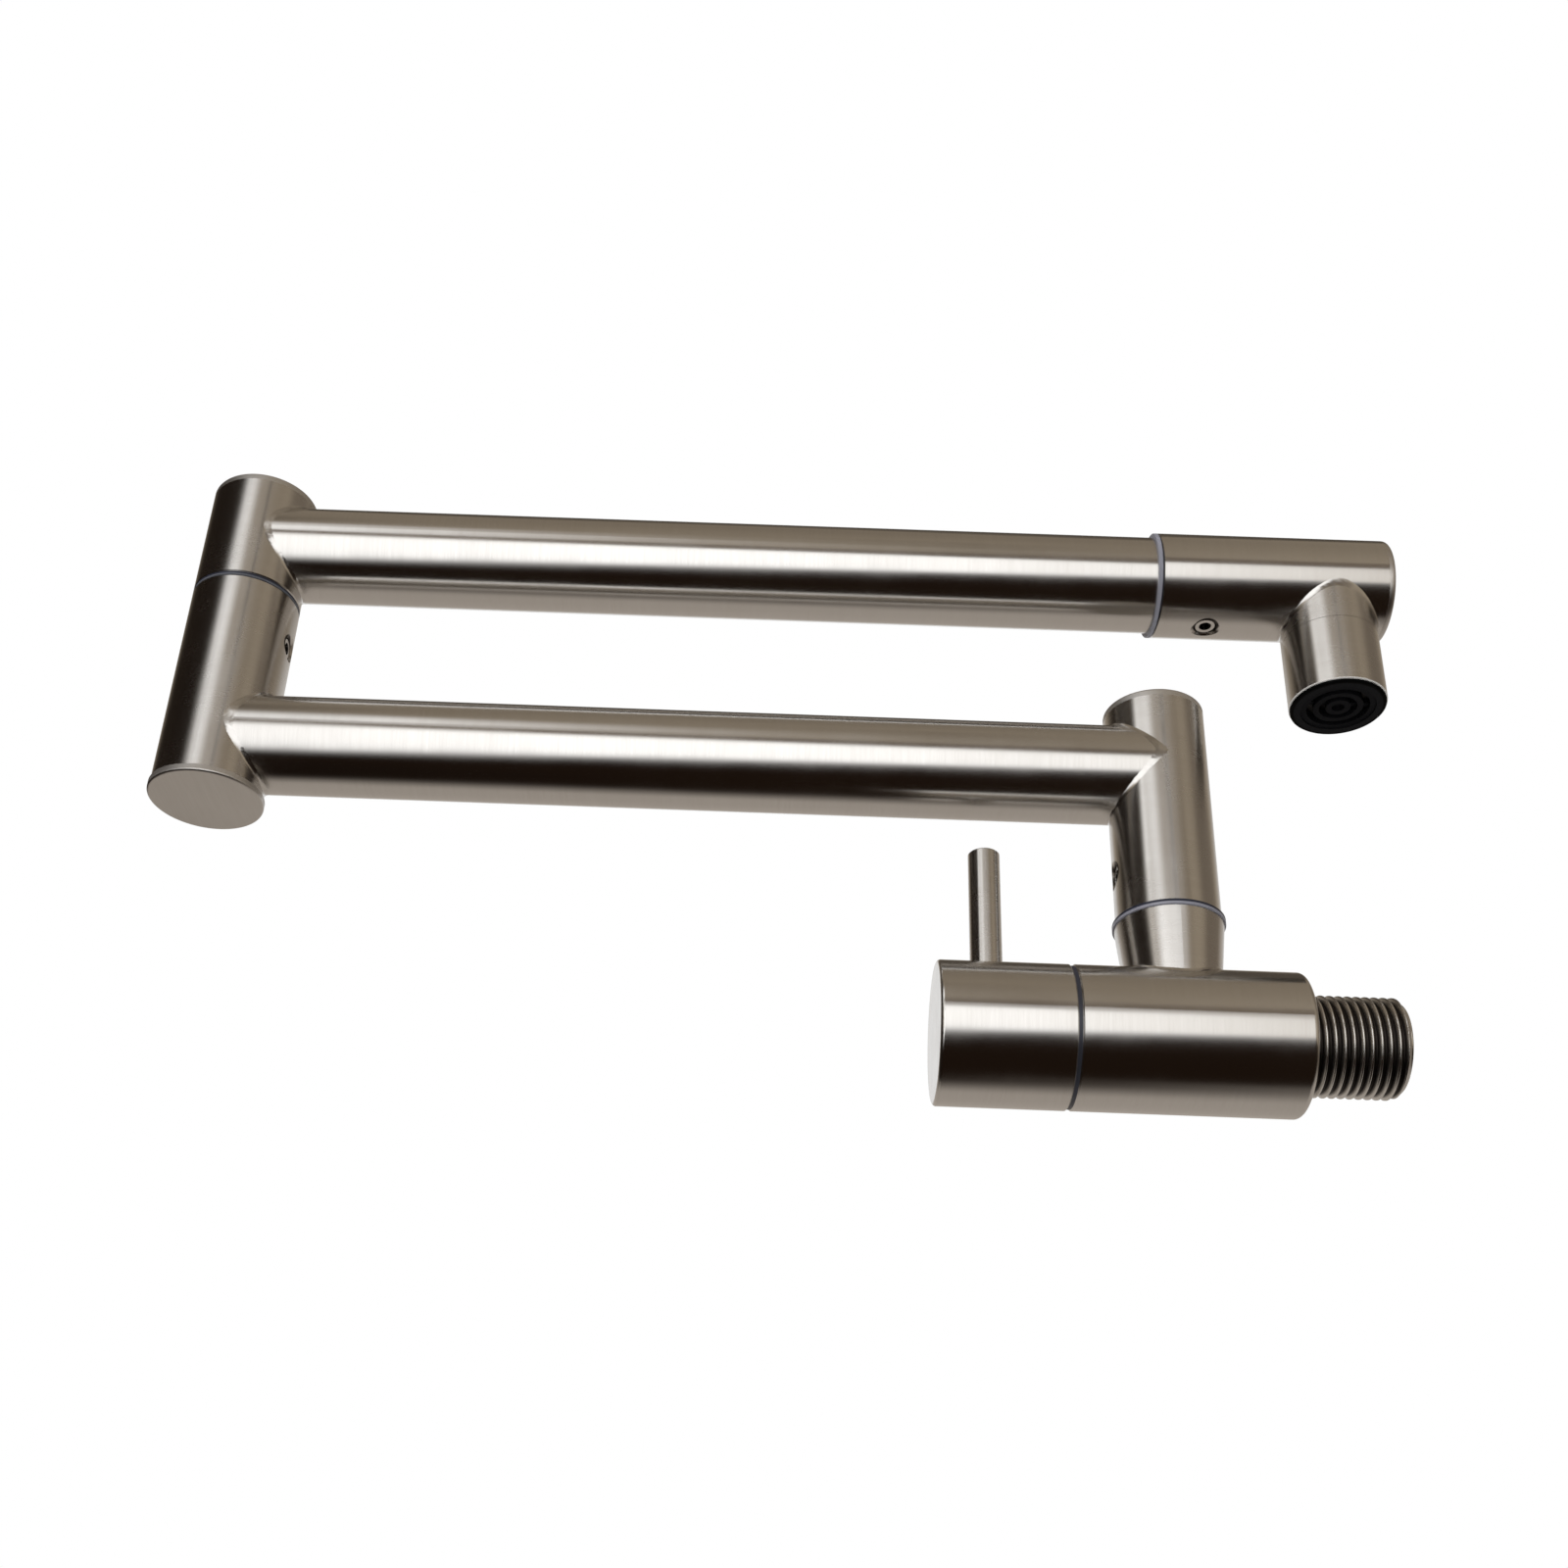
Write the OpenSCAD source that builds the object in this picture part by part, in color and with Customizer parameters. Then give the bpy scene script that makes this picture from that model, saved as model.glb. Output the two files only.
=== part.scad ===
// Folding kitchen faucet that screws into a wall: a quarter-turn valve with a lever, a riser,
// two arms joined by an elbow, and a turning head with a spout and an aerator.
// The origin is the centre of the body's wall face. +Y goes into the wall and +Z is up.
// The arms lie folded in the plane X = 0, the lower one towards -Y and the upper one back over it.

/* [Wall thread] */
// Outer diameter of the wall thread, a G 1/2 pipe thread
thread_d = 20.955; // [19:0.005:22]
// Distance from one ridge of the thread to the next
thread_pitch = 1.814; // [1.4:0.002:2.2]
// Height of a ridge above the thread's root
thread_depth = 1.162; // [0.8:0.002:1.3]
// Length of the thread beyond the body
thread_l = 20; // [15:0.5:30]
// Bevel at the thread's free end, which cuts its last ridge
thread_bevel = 1.3; // [0.6:0.1:2]
// Depth of the relief around the thread in the body's wall face
thread_relief = 1; // [0.5:0.1:2]
// Bore of the water inlet
inlet_d = 14; // [10:0.5:15]

/* [Valve body] */
// Outer diameter of the body and of the handle
body_d = 30; // [28:0.5:36]
// Length of the body from its wall face to its handle end
body_l = 46.5; // [44:0.5:60]
// Rounding of the body's edge at the wall
body_round = 1.2; // [0.4:0.1:2]
// Depth of the valve seat behind the handle end
seat_depth = 33; // [31:0.5:36]
// Thickness of the web that holds the valve seat
seat_web = 5.5; // [3:0.5:7]
// Water hole through the valve seat
seat_d = 9; // [6:0.5:10]
// Diameter of the water chamber around the cartridge
chamber_d = 22.5; // [21.5:0.5:24]
// Distance from the handle end back to the riser's axis
riser_at = 21.75; // [20:0.25:23]

/* [Cartridge] */
// Diameter of the threaded neck that screws into the body
neck_d = 20; // [19.6:0.1:20.6]
// Length of the neck
neck_l = 9; // [7:0.5:11]
// Distance from one ridge of the neck's thread to the next
neck_pitch = 1; // [0.8:0.05:1.5]
// Height of a ridge above the root of the neck's thread
neck_depth = 0.6; // [0.4:0.05:0.7]
// Diameter of the flange that stops on the body's end
flange_d = 24; // [22:0.5:24.5]
// Thickness of the flange
flange_t = 1.8; // [1:0.1:2.5]
// Thickness of the O-ring under the flange
neck_ring_t = 1.6; // [1.4:0.1:1.7]
// Width across the flats of the hexagon on the flange
hex_af = 20; // [17:0.5:20.5]
// Height of the hexagon
hex_t = 3; // [2:0.5:4]
// Outer diameter of the barrel
barrel_d = 17.8; // [17.4:0.1:18.4]
// Bore of the barrel, which the discs lie in
disc_bore = 15; // [14:0.1:15.4]
// Thickness of a ceramic disc
disc_t = 3.2; // [2.5:0.1:3.5]
// Thickness of the rubber seat seal
seal_t = 3; // [2:0.1:4]
// Distance that the seat seal stands out of the barrel
seal_proud = 1; // [0.3:0.1:1.5]
// Hole through the rubber seat seal, and the circle that the discs' ports fill
seal_hole_d = 10; // [8:0.5:11]
// Width of the rib between the ports of a ceramic disc
disc_rib = 3; // [2:0.1:3.5]
// Thickness of the spindle's foot
foot_t = 3.2; // [2.5:0.1:4]
// Length of the tongue on the foot, which turns the moving disc
tongue_l = 7; // [5:0.5:9]
// Depth of that tongue
tongue_depth = 1.2; // [0.6:0.1:1.5]
// Width of a water window in the barrel
window_w = 7; // [5:0.5:8]
// Diameter of the spindle's shaft
shaft_d = 9; // [8.6:0.1:10]
// Width of an O-ring groove on the spindle
spindle_groove_w = 1.8; // [1.5:0.1:2]
// Depth of an O-ring groove on the spindle
spindle_groove_depth = 1.2; // [0.8:0.1:1.4]
// Thickness of the clip that holds the spindle
clip_t = 0.8; // [0.5:0.1:1.2]
// Outer diameter of the clip
clip_d = 12; // [11:0.1:13]
// Depth of the clip's groove in the spindle
clip_groove_depth = 0.5; // [0.3:0.05:0.7]
// Diameter of the spindle over its splines
spline_d = 8; // [7:0.1:8.4]
// Number of splines
spline_count = 20; // [12:1:24]
// Height of a spline
spline_h = 0.4; // [0.2:0.05:0.6]
// Distance that the spindle reaches in front of the body
spindle_reach = 21; // [18:0.5:22]

/* [Handle] */
// Length of the handle
handle_l = 27.1; // [26:0.1:40]
// Rounding of the handle's front edge
handle_round = 0.8; // [0.3:0.1:2]
// Depth of the hollow that covers the cartridge's hexagon
handle_hollow = 9.5; // [9:0.1:11]
// Clearance between that hollow and the cartridge's flange, on the radius
hollow_gap = 0.8; // [0.4:0.1:1.2]
// Thickness of the plastic slip ring between the handle and the body
slip_ring_t = 0.8; // [0.5:0.1:1.5]
// Outer diameter of the splined hub inside the handle
hub_d = 13; // [11.5:0.1:15]
// Length of the splined hub
hub_l = 12; // [10:0.1:12.6]
// Diameter of the lever
lever_d = 6.8; // [5.5:0.1:9]
// Height of the lever's top above the body's axis
lever_top = 42.4; // [35:0.1:46]
// Distance from the body's handle end forward to the lever's axis
lever_at = 16.9; // [15:0.1:18]
// Depth of the lever's seat in the handle
lever_seat = 1.5; // [0.8:0.1:3]
// Diameter of the lever's threaded root
lever_root_d = 5; // [3:0.5:5]

/* [Swivel joints] */
// Outer diameter of the spigots that the sleeves turn on
spigot_d = 17; // [16:0.1:17.6]
// Water bore of the spigots
spigot_bore = 10.5; // [8:0.5:11]
// Length of a spigot's root in its tube
root_l = 6; // [4:0.5:6.5]
// Distance from a sleeve's mouth to its set screw
screw_at = 11.3; // [9:0.1:14]
// Distance from the set screw to the O-ring on each side
ring_span = 6.3; // [5:0.1:8]
// Length of the spigot beyond its second O-ring
spigot_end = 4; // [2:0.1:5]
// Width of an O-ring groove
ring_groove_w = 2.2; // [1.8:0.1:2.6]
// Depth of an O-ring groove
ring_groove_depth = 1.4; // [1:0.1:1.6]
// Width of the groove that the set screw's tip runs in
screw_groove_w = 3.6; // [3.2:0.1:5]
// Depth of that groove
screw_groove_depth = 1.5; // [1:0.1:1.7]
// Outer diameter of the plastic washers at the elbow and the head
washer_d = 24; // [23:0.1:27]
// Thickness of those washers
washer_t = 1; // [0.6:0.1:2]
// Thread diameter of the set screws
screw_d = 5; // [4:0.5:5.5]
// Width across the flats of a set screw's socket
screw_af = 2.5; // [1.5:0.5:3]
// Depth of a set screw's socket
screw_socket = 1.2; // [0.8:0.1:1.4]
// Depth of a set screw's outer end below the sleeve
screw_sink = 0.8; // [0.4:0.1:1]
// Diameter of a set screw's tip
screw_tip_d = 2.6; // [2:0.1:2.8]
// Outer diameter of the bevel around a set screw
screw_bevel_d = 6.6; // [6:0.1:7]

/* [Riser] */
// Height of the tapered collar above the body
collar_h = 10.7; // [8:0.1:20]
// Diameter of the collar under its washer
collar_top_d = 22.8; // [20:0.1:24]
// Diameter of the collar where it meets the body
collar_foot_d = 20.5; // [19:0.1:24]
// Diameter of the collar's tail in the body's wall
tail_d = 15; // [13:0.5:15.5]
// Length of the collar's tail below the top of the body
tail_l = 4.6; // [3:0.1:5]
// Outer diameter of the riser's washer
riser_washer_d = 23.5; // [22.5:0.1:26]
// Thickness of the riser's washer
riser_washer_t = 1.3; // [0.6:0.1:2]
// Outer diameter of the riser
riser_d = 22; // [22:0.1:24]
// Distance from the riser's mouth up to the lower arm's axis
riser_to_arm = 36.8; // [33:0.1:80]
// Distance from the lower arm's axis up to the riser's top
riser_above = 16.1; // [13:0.1:30]

/* [Arms] */
// Outer diameter of the two arm tubes
arm_d = 22; // [18:0.1:22]
// Wall of the arm tubes
arm_wall = 1.5; // [1:0.1:2]
// Distance from the riser's axis to the elbow's axis
lower_arm_l = 207.9; // [120:0.1:300]
// Distance from the elbow's axis to the upper arm's end
upper_arm_l = 209.4; // [60:0.1:300]
// Water port where an arm meets a post
port_d = 15; // [8:0.5:15]

/* [Elbow] */
// Outer diameter of the elbow's two posts
post_d = 24; // [22.5:0.1:26]
// Wall of the elbow's upper post
post_wall = 2.5; // [2:0.1:3]
// Distance from the lower arm's axis up to the elbow sleeve's mouth
sleeve_above = 37.75; // [33:0.05:60]
// Distance from the lower arm's axis down to the elbow's bottom
sleeve_below = 14.8; // [13:0.1:30]
// Distance from the upper arm's axis to each end of the upper post
post_half = 14.35; // [14.1:0.05:24]
// Diameter of the disc that closes the elbow's bottom
disc_cap_d = 24.8; // [24:0.1:28]

/* [Head and spout] */
// Outer diameter of the turning head
head_d = 24; // [22.5:0.1:26]
// Length of the head
head_l = 52.9; // [50:0.1:80]
// Distance from the head's closed end back to the spout's axis
spout_back = 13.3; // [12.6:0.1:18]
// Distance from the head's axis down to the spout's outlet
spout_drop = 33; // [28:0.1:60]
// Outer diameter of the spout
spout_d = 21.5; // [20.8:0.1:22]
// Bore of the spout, which the aerator screws into
spout_bore = 18.8; // [18:0.1:19]

/* [Aerator] */
// Width of the spout's end that shows around the aerator's lip
aerator_rim = 0.25; // [0.1:0.05:0.5]
// Thickness of the lip, which covers the spout's end
aerator_lip_t = 0.8; // [0.6:0.1:1.5]
// Length of the aerator's housing above the lip
aerator_l = 9; // [7:0.1:12]
// Wall of the aerator's housing
aerator_wall = 1.1; // [0.8:0.1:1.5]
// Number of rings on the aerator's face
aerator_rings = 3; // [3:1:5]
// Width of a ring on the aerator's face
aerator_ring_w = 1.3; // [0.5:0.05:1.4]
// Distance that the aerator's face sits inside its lip
aerator_sink = 0.3; // [0.1:0.1:1]
// Thickness of the aerator's face
aerator_face_t = 2; // [1:0.1:3]
// Thickness of a screen in the aerator
screen_t = 0.5; // [0.3:0.1:0.8]
// Thickness of the aerator's sealing ring
aerator_seal_t = 2; // [1:0.1:3]

/* [Small details] */
// Thickness of the discs that close the tubes
cap_t = 1.6; // [1.2:0.1:3]
// Rounding of the head's closed end
head_round = 1.2; // [0.4:0.1:1.2]
// Rounding of the other closed ends
cap_round = 0.5; // [0.2:0.1:0.8]
// Bevel on the sleeves' mouths and other cut edges
edge_break = 0.3; // [0.1:0.05:0.5]

/* [Clearances] */
// Running clearance of a spigot or shaft, on the radius
running_gap = 0.08; // [0.04:0.01:0.1]
// Clearance of pieces that are fixed together, on the radius
seat_gap = 0.05; // [0.02:0.01:0.1]
// Clearance of an O-ring from what it seals against
ring_gap = 0.05; // [0.03:0.01:0.1]
// Clearance of loose pieces, such as a washer around its spigot
loose_gap = 0.25; // [0.15:0.05:0.4]

/* [Hidden] */
$fn = 72;
steel = [0.66, 0.64, 0.61];
steel_inner = [0.55, 0.55, 0.55];
brass = [0.80, 0.64, 0.33];
ceramic = [0.93, 0.92, 0.89];
rubber = [0.12, 0.12, 0.12];
washer_plastic = [0.60, 0.64, 0.72];
black_plastic = [0.09, 0.09, 0.10];
hub_plastic = [0.86, 0.86, 0.84];

// How far a cut runs past the surface that it opens
past = 1;
// Lean of the threads' flanks
flank = 27.5;

// Radii that several pieces share
body_r = body_d / 2;
thread_r = thread_d / 2;
thread_root_r = thread_r - thread_depth;
spigot_r = spigot_d / 2;
sleeve_bore_r = spigot_r + running_gap;
arm_bore_r = arm_d / 2 - arm_wall;
post_bore_r = post_d / 2 - post_wall;
spout_bore_r = spout_bore / 2;
ring_groove_r = spigot_r - ring_groove_depth;
screw_groove_r = spigot_r - screw_groove_depth;
neck_r = neck_d / 2;
neck_ring_w = neck_ring_t + 2 * ring_gap;
neck_ring_r = neck_r - neck_depth + ring_gap / 2 + neck_ring_t / 2;
moving_r = disc_bore / 2 - loose_gap;
spindle_groove_r = shaft_d / 2 - spindle_groove_depth;
clip_bore_r = shaft_d / 2 - clip_groove_depth;
aerator_bore_r = spout_bore_r - seat_gap - aerator_wall;

// Places along Y, where the front is the body's handle end
front_y = -body_l;
riser_y = front_y + riser_at;
elbow_y = riser_y - lower_arm_l;
head_y = elbow_y + upper_arm_l + washer_t;
seat_y = front_y + seat_depth;
lever_y = front_y - lever_at;
handle_open_y = front_y - slip_ring_t;
handle_front_y = handle_open_y - handle_l;
seal_y = seat_y - seal_t;
disc_y = seal_y - disc_t;
moving_disc_y = disc_y - disc_t;
foot_y = moving_disc_y - foot_t;
hex_front_y = front_y - flange_t - hex_t;
clip_y = hex_front_y - seat_gap - clip_t / 2;
shaft_end_y = clip_y - 2 * clip_t;
spindle_ring_places = [front_y + neck_l / 4, front_y + neck_l * 3 / 4];

// Heights along Z, where the body's axis is zero
collar_top_z = body_r + collar_h;
riser_mouth_z = collar_top_z + riser_washer_t;
lower_arm_z = riser_mouth_z + riser_to_arm;
riser_top_z = lower_arm_z + riser_above;
elbow_bottom_z = lower_arm_z - sleeve_below;
elbow_mouth_z = lower_arm_z + sleeve_above;
upper_arm_z = elbow_mouth_z + washer_t + post_half;

// Heights in the aerator, above the spout's outlet
aerator_top = aerator_lip_t + aerator_l;
shoulder_z = aerator_top + aerator_seal_t;

// Lengths inside the swivel joints, from a sleeve's mouth
near_ring = screw_at - ring_span;
far_ring = screw_at + ring_span;
spigot_l = far_ring + spigot_end;
spout_at = head_l - spout_back;

// The hexagon's radius over its corners, from its width across the flats
function corner_r(across_flats) = across_flats / 2 / cos(30);

// Half outline of a round bar from z0 to z1, with bevels e0 and e1 on its edges
function bar_outline(r, z0, z1, e0, e1) = concat(
    [[0, z0]],
    e0 > 0 ? [[r - e0, z0], [r, z0 + e0]] : [[r, z0]],
    e1 > 0 ? [[r, z1 - e1], [r - e1, z1]] : [[r, z1]],
    [[0, z1]]
);

// Half outline of a threaded bar, made of ridges with leaning flanks
function ridge(z, r, pitch, depth) =
    let(run = depth * tan(flank), flat = (pitch - 2 * run) / 2)
    [[r - depth, z + flat / 2], [r, z + flat / 2 + run],
     [r, z + flat * 3 / 2 + run], [r - depth, z + flat * 3 / 2 + 2 * run]];
function thread_outline(r, l, pitch, depth) =
    let(count = floor(l / pitch))
    concat(
        [[0, 0], [r - depth, 0]],
        [for (i = [0 : count - 1]) each ridge(i * pitch, r, pitch, depth)],
        [[r - depth, l], [0, l]]
    );

module turned(outline) rotate_extrude() polygon(outline);

// Threaded bar on Z from zero, with a bevel cut across the ridges at its free end
module threaded_bar(r, l, bevel, pitch, depth) {
    intersection() {
        turned(thread_outline(r, l, pitch, depth));
        bar(r + past, 0, l, 0, bevel + past);
    }
}

// Round bar on Z from z0 to z1, with bevelled edges
module bar(r, z0, z1, e0 = 0, e1 = 0) turned(bar_outline(r, z0, z1, e0, e1));

// Round bar on Z from z0 to z1, with its edge at z1 rounded and the one at z0 square
module rounded_bar(r, z0, z1, e) {
    rotate_extrude() union() {
        translate([0, z0]) square([r - e, z1 - z0]);
        translate([0, z0]) square([r, z1 - z0 - e]);
        intersection() {
            translate([r - e, z1 - e]) circle(r = e);
            translate([r - e, z1 - e]) square([e, e]);
        }
    }
}

// Turns a shape that stands on Z, so that its +Z points along +Y or -Y
module to_plus_y() rotate([-90, 0, 0]) children();
module to_minus_y() rotate([90, 0, 0]) children();

// The three swivel joints: each places its children with the sleeve's mouth at zero,
// the spigot pointing along +Z and the set screw on the -Y side
module at_riser() translate([0, riser_y, riser_mouth_z]) children();
module at_elbow() translate([0, elbow_y, elbow_mouth_z]) rotate([180, 0, 0]) children();
module at_head() {
    translate([0, head_y, upper_arm_z]) rotate([-90, 0, 0]) rotate([0, 0, 180]) children();
}

// Spigot with two O-ring grooves and a groove for the set screw, without its root, that
// starts below a washer of the given thickness
module spigot_shank(gasket_t) {
    difference() {
        bar(spigot_r, -gasket_t, spigot_l, 0, edge_break);
        for (at = [near_ring, far_ring]) groove(ring_groove_r, at, ring_groove_w);
        groove(screw_groove_r, screw_at, screw_groove_w);
    }
}

module groove(root_r, at, w) {
    difference() {
        translate([0, 0, at - w / 2]) cylinder(r = spigot_r + past, h = w);
        translate([0, 0, at - w / 2 - past]) cylinder(r = root_r, h = w + 2 * past);
    }
}

module spigot_water_bore(z0) {
    translate([0, 0, z0]) cylinder(d = spigot_bore, h = spigot_l - z0 + past);
}

// Spigot whose root is fixed in a tube with the given bore radius
module spigot(tube_bore_r) {
    color(steel_inner) difference() {
        union() {
            spigot_shank(washer_t);
            bar(tube_bore_r - seat_gap, -washer_t - root_l, -washer_t, edge_break, 0);
        }
        spigot_water_bore(-washer_t - root_l - past);
    }
}

module o_rings() {
    inner = ring_groove_r + ring_gap / 2;
    outer = sleeve_bore_r - ring_gap;
    color(rubber) for (at = [near_ring, far_ring])
        translate([0, 0, at]) rotate_extrude() translate([(inner + outer) / 2, 0])
            circle(d = outer - inner);
}

module washer(d, t) {
    color(washer_plastic) difference() {
        bar(d / 2, -t, 0, edge_break / 2, edge_break / 2);
        translate([0, 0, -t - past]) cylinder(r = spigot_r + loose_gap, h = t + 2 * past);
    }
}

// Sleeve that turns on a spigot, with its bore, its water port and its set screw's hole
module sleeve(r, l, port_at) {
    color(steel) difference() {
        bar(r, 0, l, edge_break, 0);
        translate([0, 0, -past]) cylinder(r = sleeve_bore_r, h = l + 2 * past);
        translate([0, 0, port_at]) to_minus_y() cylinder(d = port_d, h = r + past);
        screw_hole(r);
    }
}

module screw_hole(r) {
    bevel = (screw_bevel_d - screw_d) / 2;
    translate([0, 0, screw_at]) to_minus_y() {
        cylinder(d = screw_d + 2 * seat_gap, h = r + past);
        translate([0, 0, r - bevel]) cylinder(d1 = screw_d, d2 = screw_bevel_d + 2 * bevel, h = 2 * bevel);
    }
}

// Set screw with a hexagon socket and a plain tip that runs in the spigot's groove
module set_screw(r) {
    tip_r = screw_groove_r + loose_gap;
    shoulder_r = sleeve_bore_r;
    end_r = r - screw_sink;
    color(steel_inner) translate([0, 0, screw_at]) to_minus_y() difference() {
        union() {
            bar(screw_tip_d / 2, tip_r, shoulder_r + edge_break, edge_break, 0);
            bar(screw_d / 2, shoulder_r, end_r, edge_break, edge_break);
        }
        translate([0, 0, end_r - screw_socket]) cylinder(r = corner_r(screw_af), h = r, $fn = 6);
    }
}

// Valve: the body, its thread for the wall, and what stays still inside it

module valve_body() {
    color(steel) difference() {
        translate([0, front_y, 0]) to_plus_y() body_blank();
        translate([0, front_y - past, 0]) to_plus_y()
            cylinder(r = neck_r + seat_gap, h = neck_l + past);
        translate([0, front_y - past, 0]) to_plus_y()
            cylinder(r = neck_ring_r + neck_ring_t / 2 + ring_gap, h = neck_ring_w + past);
        translate([0, front_y + neck_l - past, 0]) to_plus_y()
            cylinder(d = chamber_d, h = seat_depth - neck_l + past);
        translate([0, seat_y - past, 0]) to_plus_y() cylinder(d = seat_d, h = seat_web + 2 * past);
        translate([0, seat_y + seat_web, 0]) to_plus_y()
            cylinder(r = thread_root_r + seat_gap, h = body_l);
        translate([0, -thread_relief, 0]) to_plus_y()
            cylinder(r = thread_r + loose_gap, h = thread_relief + past);
        translate([0, riser_y, 0]) cylinder(r = tail_d / 2 + seat_gap, h = body_d);
    }
}

module body_blank() {
    union() {
        bar(body_r, 0, body_l / 2, edge_break, 0);
        rounded_bar(body_r, body_l / 2, body_l, body_round);
    }
}

module inlet_nipple() {
    tail_end = seat_y + seat_web;
    color(steel) difference() {
        union() {
            to_plus_y()
                threaded_bar(thread_r, thread_l, thread_bevel, thread_pitch, thread_depth);
            translate([0, tail_end, 0]) to_plus_y()
                bar(thread_root_r, 0, thread_pitch / 2 - tail_end, edge_break, 0);
        }
        translate([0, tail_end - past, 0]) to_plus_y()
            cylinder(d = inlet_d, h = thread_l - tail_end + 2 * past);
    }
}

// Brass housing of the cartridge: a neck whose thread starts behind the O-ring under the
// flange, and a barrel with water windows
module cartridge_housing() {
    color(brass) difference() {
        union() {
            translate([0, front_y, 0]) to_plus_y() bar(neck_r - neck_depth, 0, neck_l / 2);
            translate([0, front_y + neck_ring_w, 0]) to_plus_y()
                threaded_bar(neck_r, neck_l - neck_ring_w, neck_depth, neck_pitch, neck_depth);
            translate([0, front_y, 0]) to_minus_y() bar(flange_d / 2, 0, flange_t, 0, edge_break);
            translate([0, front_y, 0]) to_minus_y()
                cylinder(r = corner_r(hex_af), h = flange_t + hex_t, $fn = 6);
            translate([0, front_y, 0]) to_plus_y()
                bar(barrel_d / 2, 0, seat_depth - seal_proud, 0, edge_break);
        }
        translate([0, hex_front_y - past, 0]) to_plus_y()
            cylinder(r = shaft_d / 2 + running_gap, h = seat_depth);
        translate([0, foot_y - seat_gap, 0]) to_plus_y() cylinder(d = disc_bore, h = seat_depth);
        translate([0, (foot_y + disc_y) / 2, 0]) water_windows();
    }
}

// Four openings in the barrel, level with the spindle's foot and the moving disc
module water_windows() {
    window_l = foot_t + disc_t - 2 * edge_break;
    for (turn = [0, 90])
        rotate([0, turn, 0]) cube([barrel_d + 2 * past, window_l, window_w], center = true);
}

module cartridge_o_ring() {
    color(rubber) translate([0, front_y + ring_gap + neck_ring_t / 2, 0]) to_plus_y()
        rotate_extrude() translate([neck_ring_r, 0]) circle(d = neck_ring_t);
}

module cartridge_seal() {
    color(rubber) translate([0, seal_y, 0]) to_plus_y() difference() {
        bar(disc_bore / 2 - seat_gap, 0, seal_t, 0, edge_break);
        translate([0, 0, -past]) cylinder(d = seal_hole_d, h = seal_t + 2 * past);
    }
}

// Two opposite quarters of a round water hole, as the ceramic discs have
module disc_ports() {
    port_r = seal_hole_d / 2;
    for (side = [0, 180]) rotate([0, 0, side]) intersection() {
        translate([0, 0, -past]) cylinder(r = port_r, h = disc_t + 2 * past);
        translate([disc_rib / 2, disc_rib / 2, -past]) cube([port_r, port_r, disc_t + 2 * past]);
    }
}

module fixed_disc() {
    color(ceramic) translate([0, disc_y, 0]) to_plus_y() difference() {
        bar(disc_bore / 2 - seat_gap, 0, disc_t, 0, edge_break);
        disc_ports();
    }
}

module slip_ring() {
    inner_r = flange_d / 2 + loose_gap;
    color(washer_plastic) translate([0, front_y, 0]) to_minus_y() difference() {
        bar(body_r - edge_break, 0, slip_ring_t);
        translate([0, 0, -past]) cylinder(r = inner_r, h = slip_ring_t + 2 * past);
    }
}

// Tapered collar on the body that carries the riser's spigot, with its tail in the body's wall
module riser_spigot() {
    slope = (collar_top_d - collar_foot_d) / 2 / collar_h;
    foot_r = collar_foot_d / 2 - slope * body_r;
    color(steel) difference() {
        union() {
            difference() {
                translate([0, riser_y, 0]) cylinder(r1 = foot_r, r2 = collar_top_d / 2, h = collar_top_z);
                translate([0, front_y, 0]) to_plus_y() cylinder(r = body_r + seat_gap, h = body_l);
            }
            translate([0, riser_y, 0]) bar(tail_d / 2, body_r - tail_l, body_r + collar_h / 2);
            at_riser() spigot_shank(riser_washer_t);
        }
        translate([0, riser_y, 0]) cylinder(d = spigot_bore, h = riser_top_z);
    }
}

module riser_o_rings() at_riser() o_rings();
module riser_washer() at_riser() washer(riser_washer_d, riser_washer_t);

// Handle: what turns with the lever

module handle() {
    hub_depth = handle_hollow + hub_l + seat_gap;
    color(steel) difference() {
        translate([0, handle_open_y, 0]) to_minus_y() difference() {
            union() {
                bar(body_r, 0, handle_l / 2, edge_break, 0);
                rounded_bar(body_r, handle_l / 2, handle_l, handle_round);
            }
            translate([0, 0, -past]) cylinder(r = flange_d / 2 + hollow_gap, h = handle_hollow + past);
            translate([0, 0, -past]) cylinder(r = hub_d / 2 + seat_gap, h = hub_depth + past);
        }
        translate([0, lever_y, 0]) cylinder(r = lever_root_d / 2 + seat_gap, h = body_d);
        translate([0, lever_y, body_r - lever_seat]) cylinder(r = lever_d / 2 + seat_gap, h = body_d);
    }
}

// Star-shaped outline of the splined end, grown by a clearance
module spline_outline(gap) {
    outer = spline_d / 2 + gap;
    step = 360 / spline_count;
    polygon([for (i = [0 : spline_count - 1], half = [0, 1])
        (outer - half * spline_h) * [cos((i + half / 2) * step), sin((i + half / 2) * step)]]);
}

module handle_hub() {
    color(hub_plastic) difference() {
        translate([0, handle_open_y - handle_hollow, 0]) to_minus_y() difference() {
            bar(hub_d / 2, 0, hub_l, edge_break, edge_break);
            translate([0, 0, -past]) linear_extrude(height = hub_l + 2 * past) spline_outline(seat_gap);
        }
        translate([0, lever_y, 0]) cylinder(r = lever_root_d / 2 + seat_gap, h = body_d);
    }
}

module lever() {
    root_end = spline_d / 2 + seat_gap;
    color(steel) translate([0, lever_y, 0]) union() {
        bar(lever_root_d / 2, root_end, body_r - lever_seat + edge_break, edge_break, 0);
        bar(lever_d / 2, body_r - lever_seat, lever_top, edge_break, edge_break);
    }
}

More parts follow.
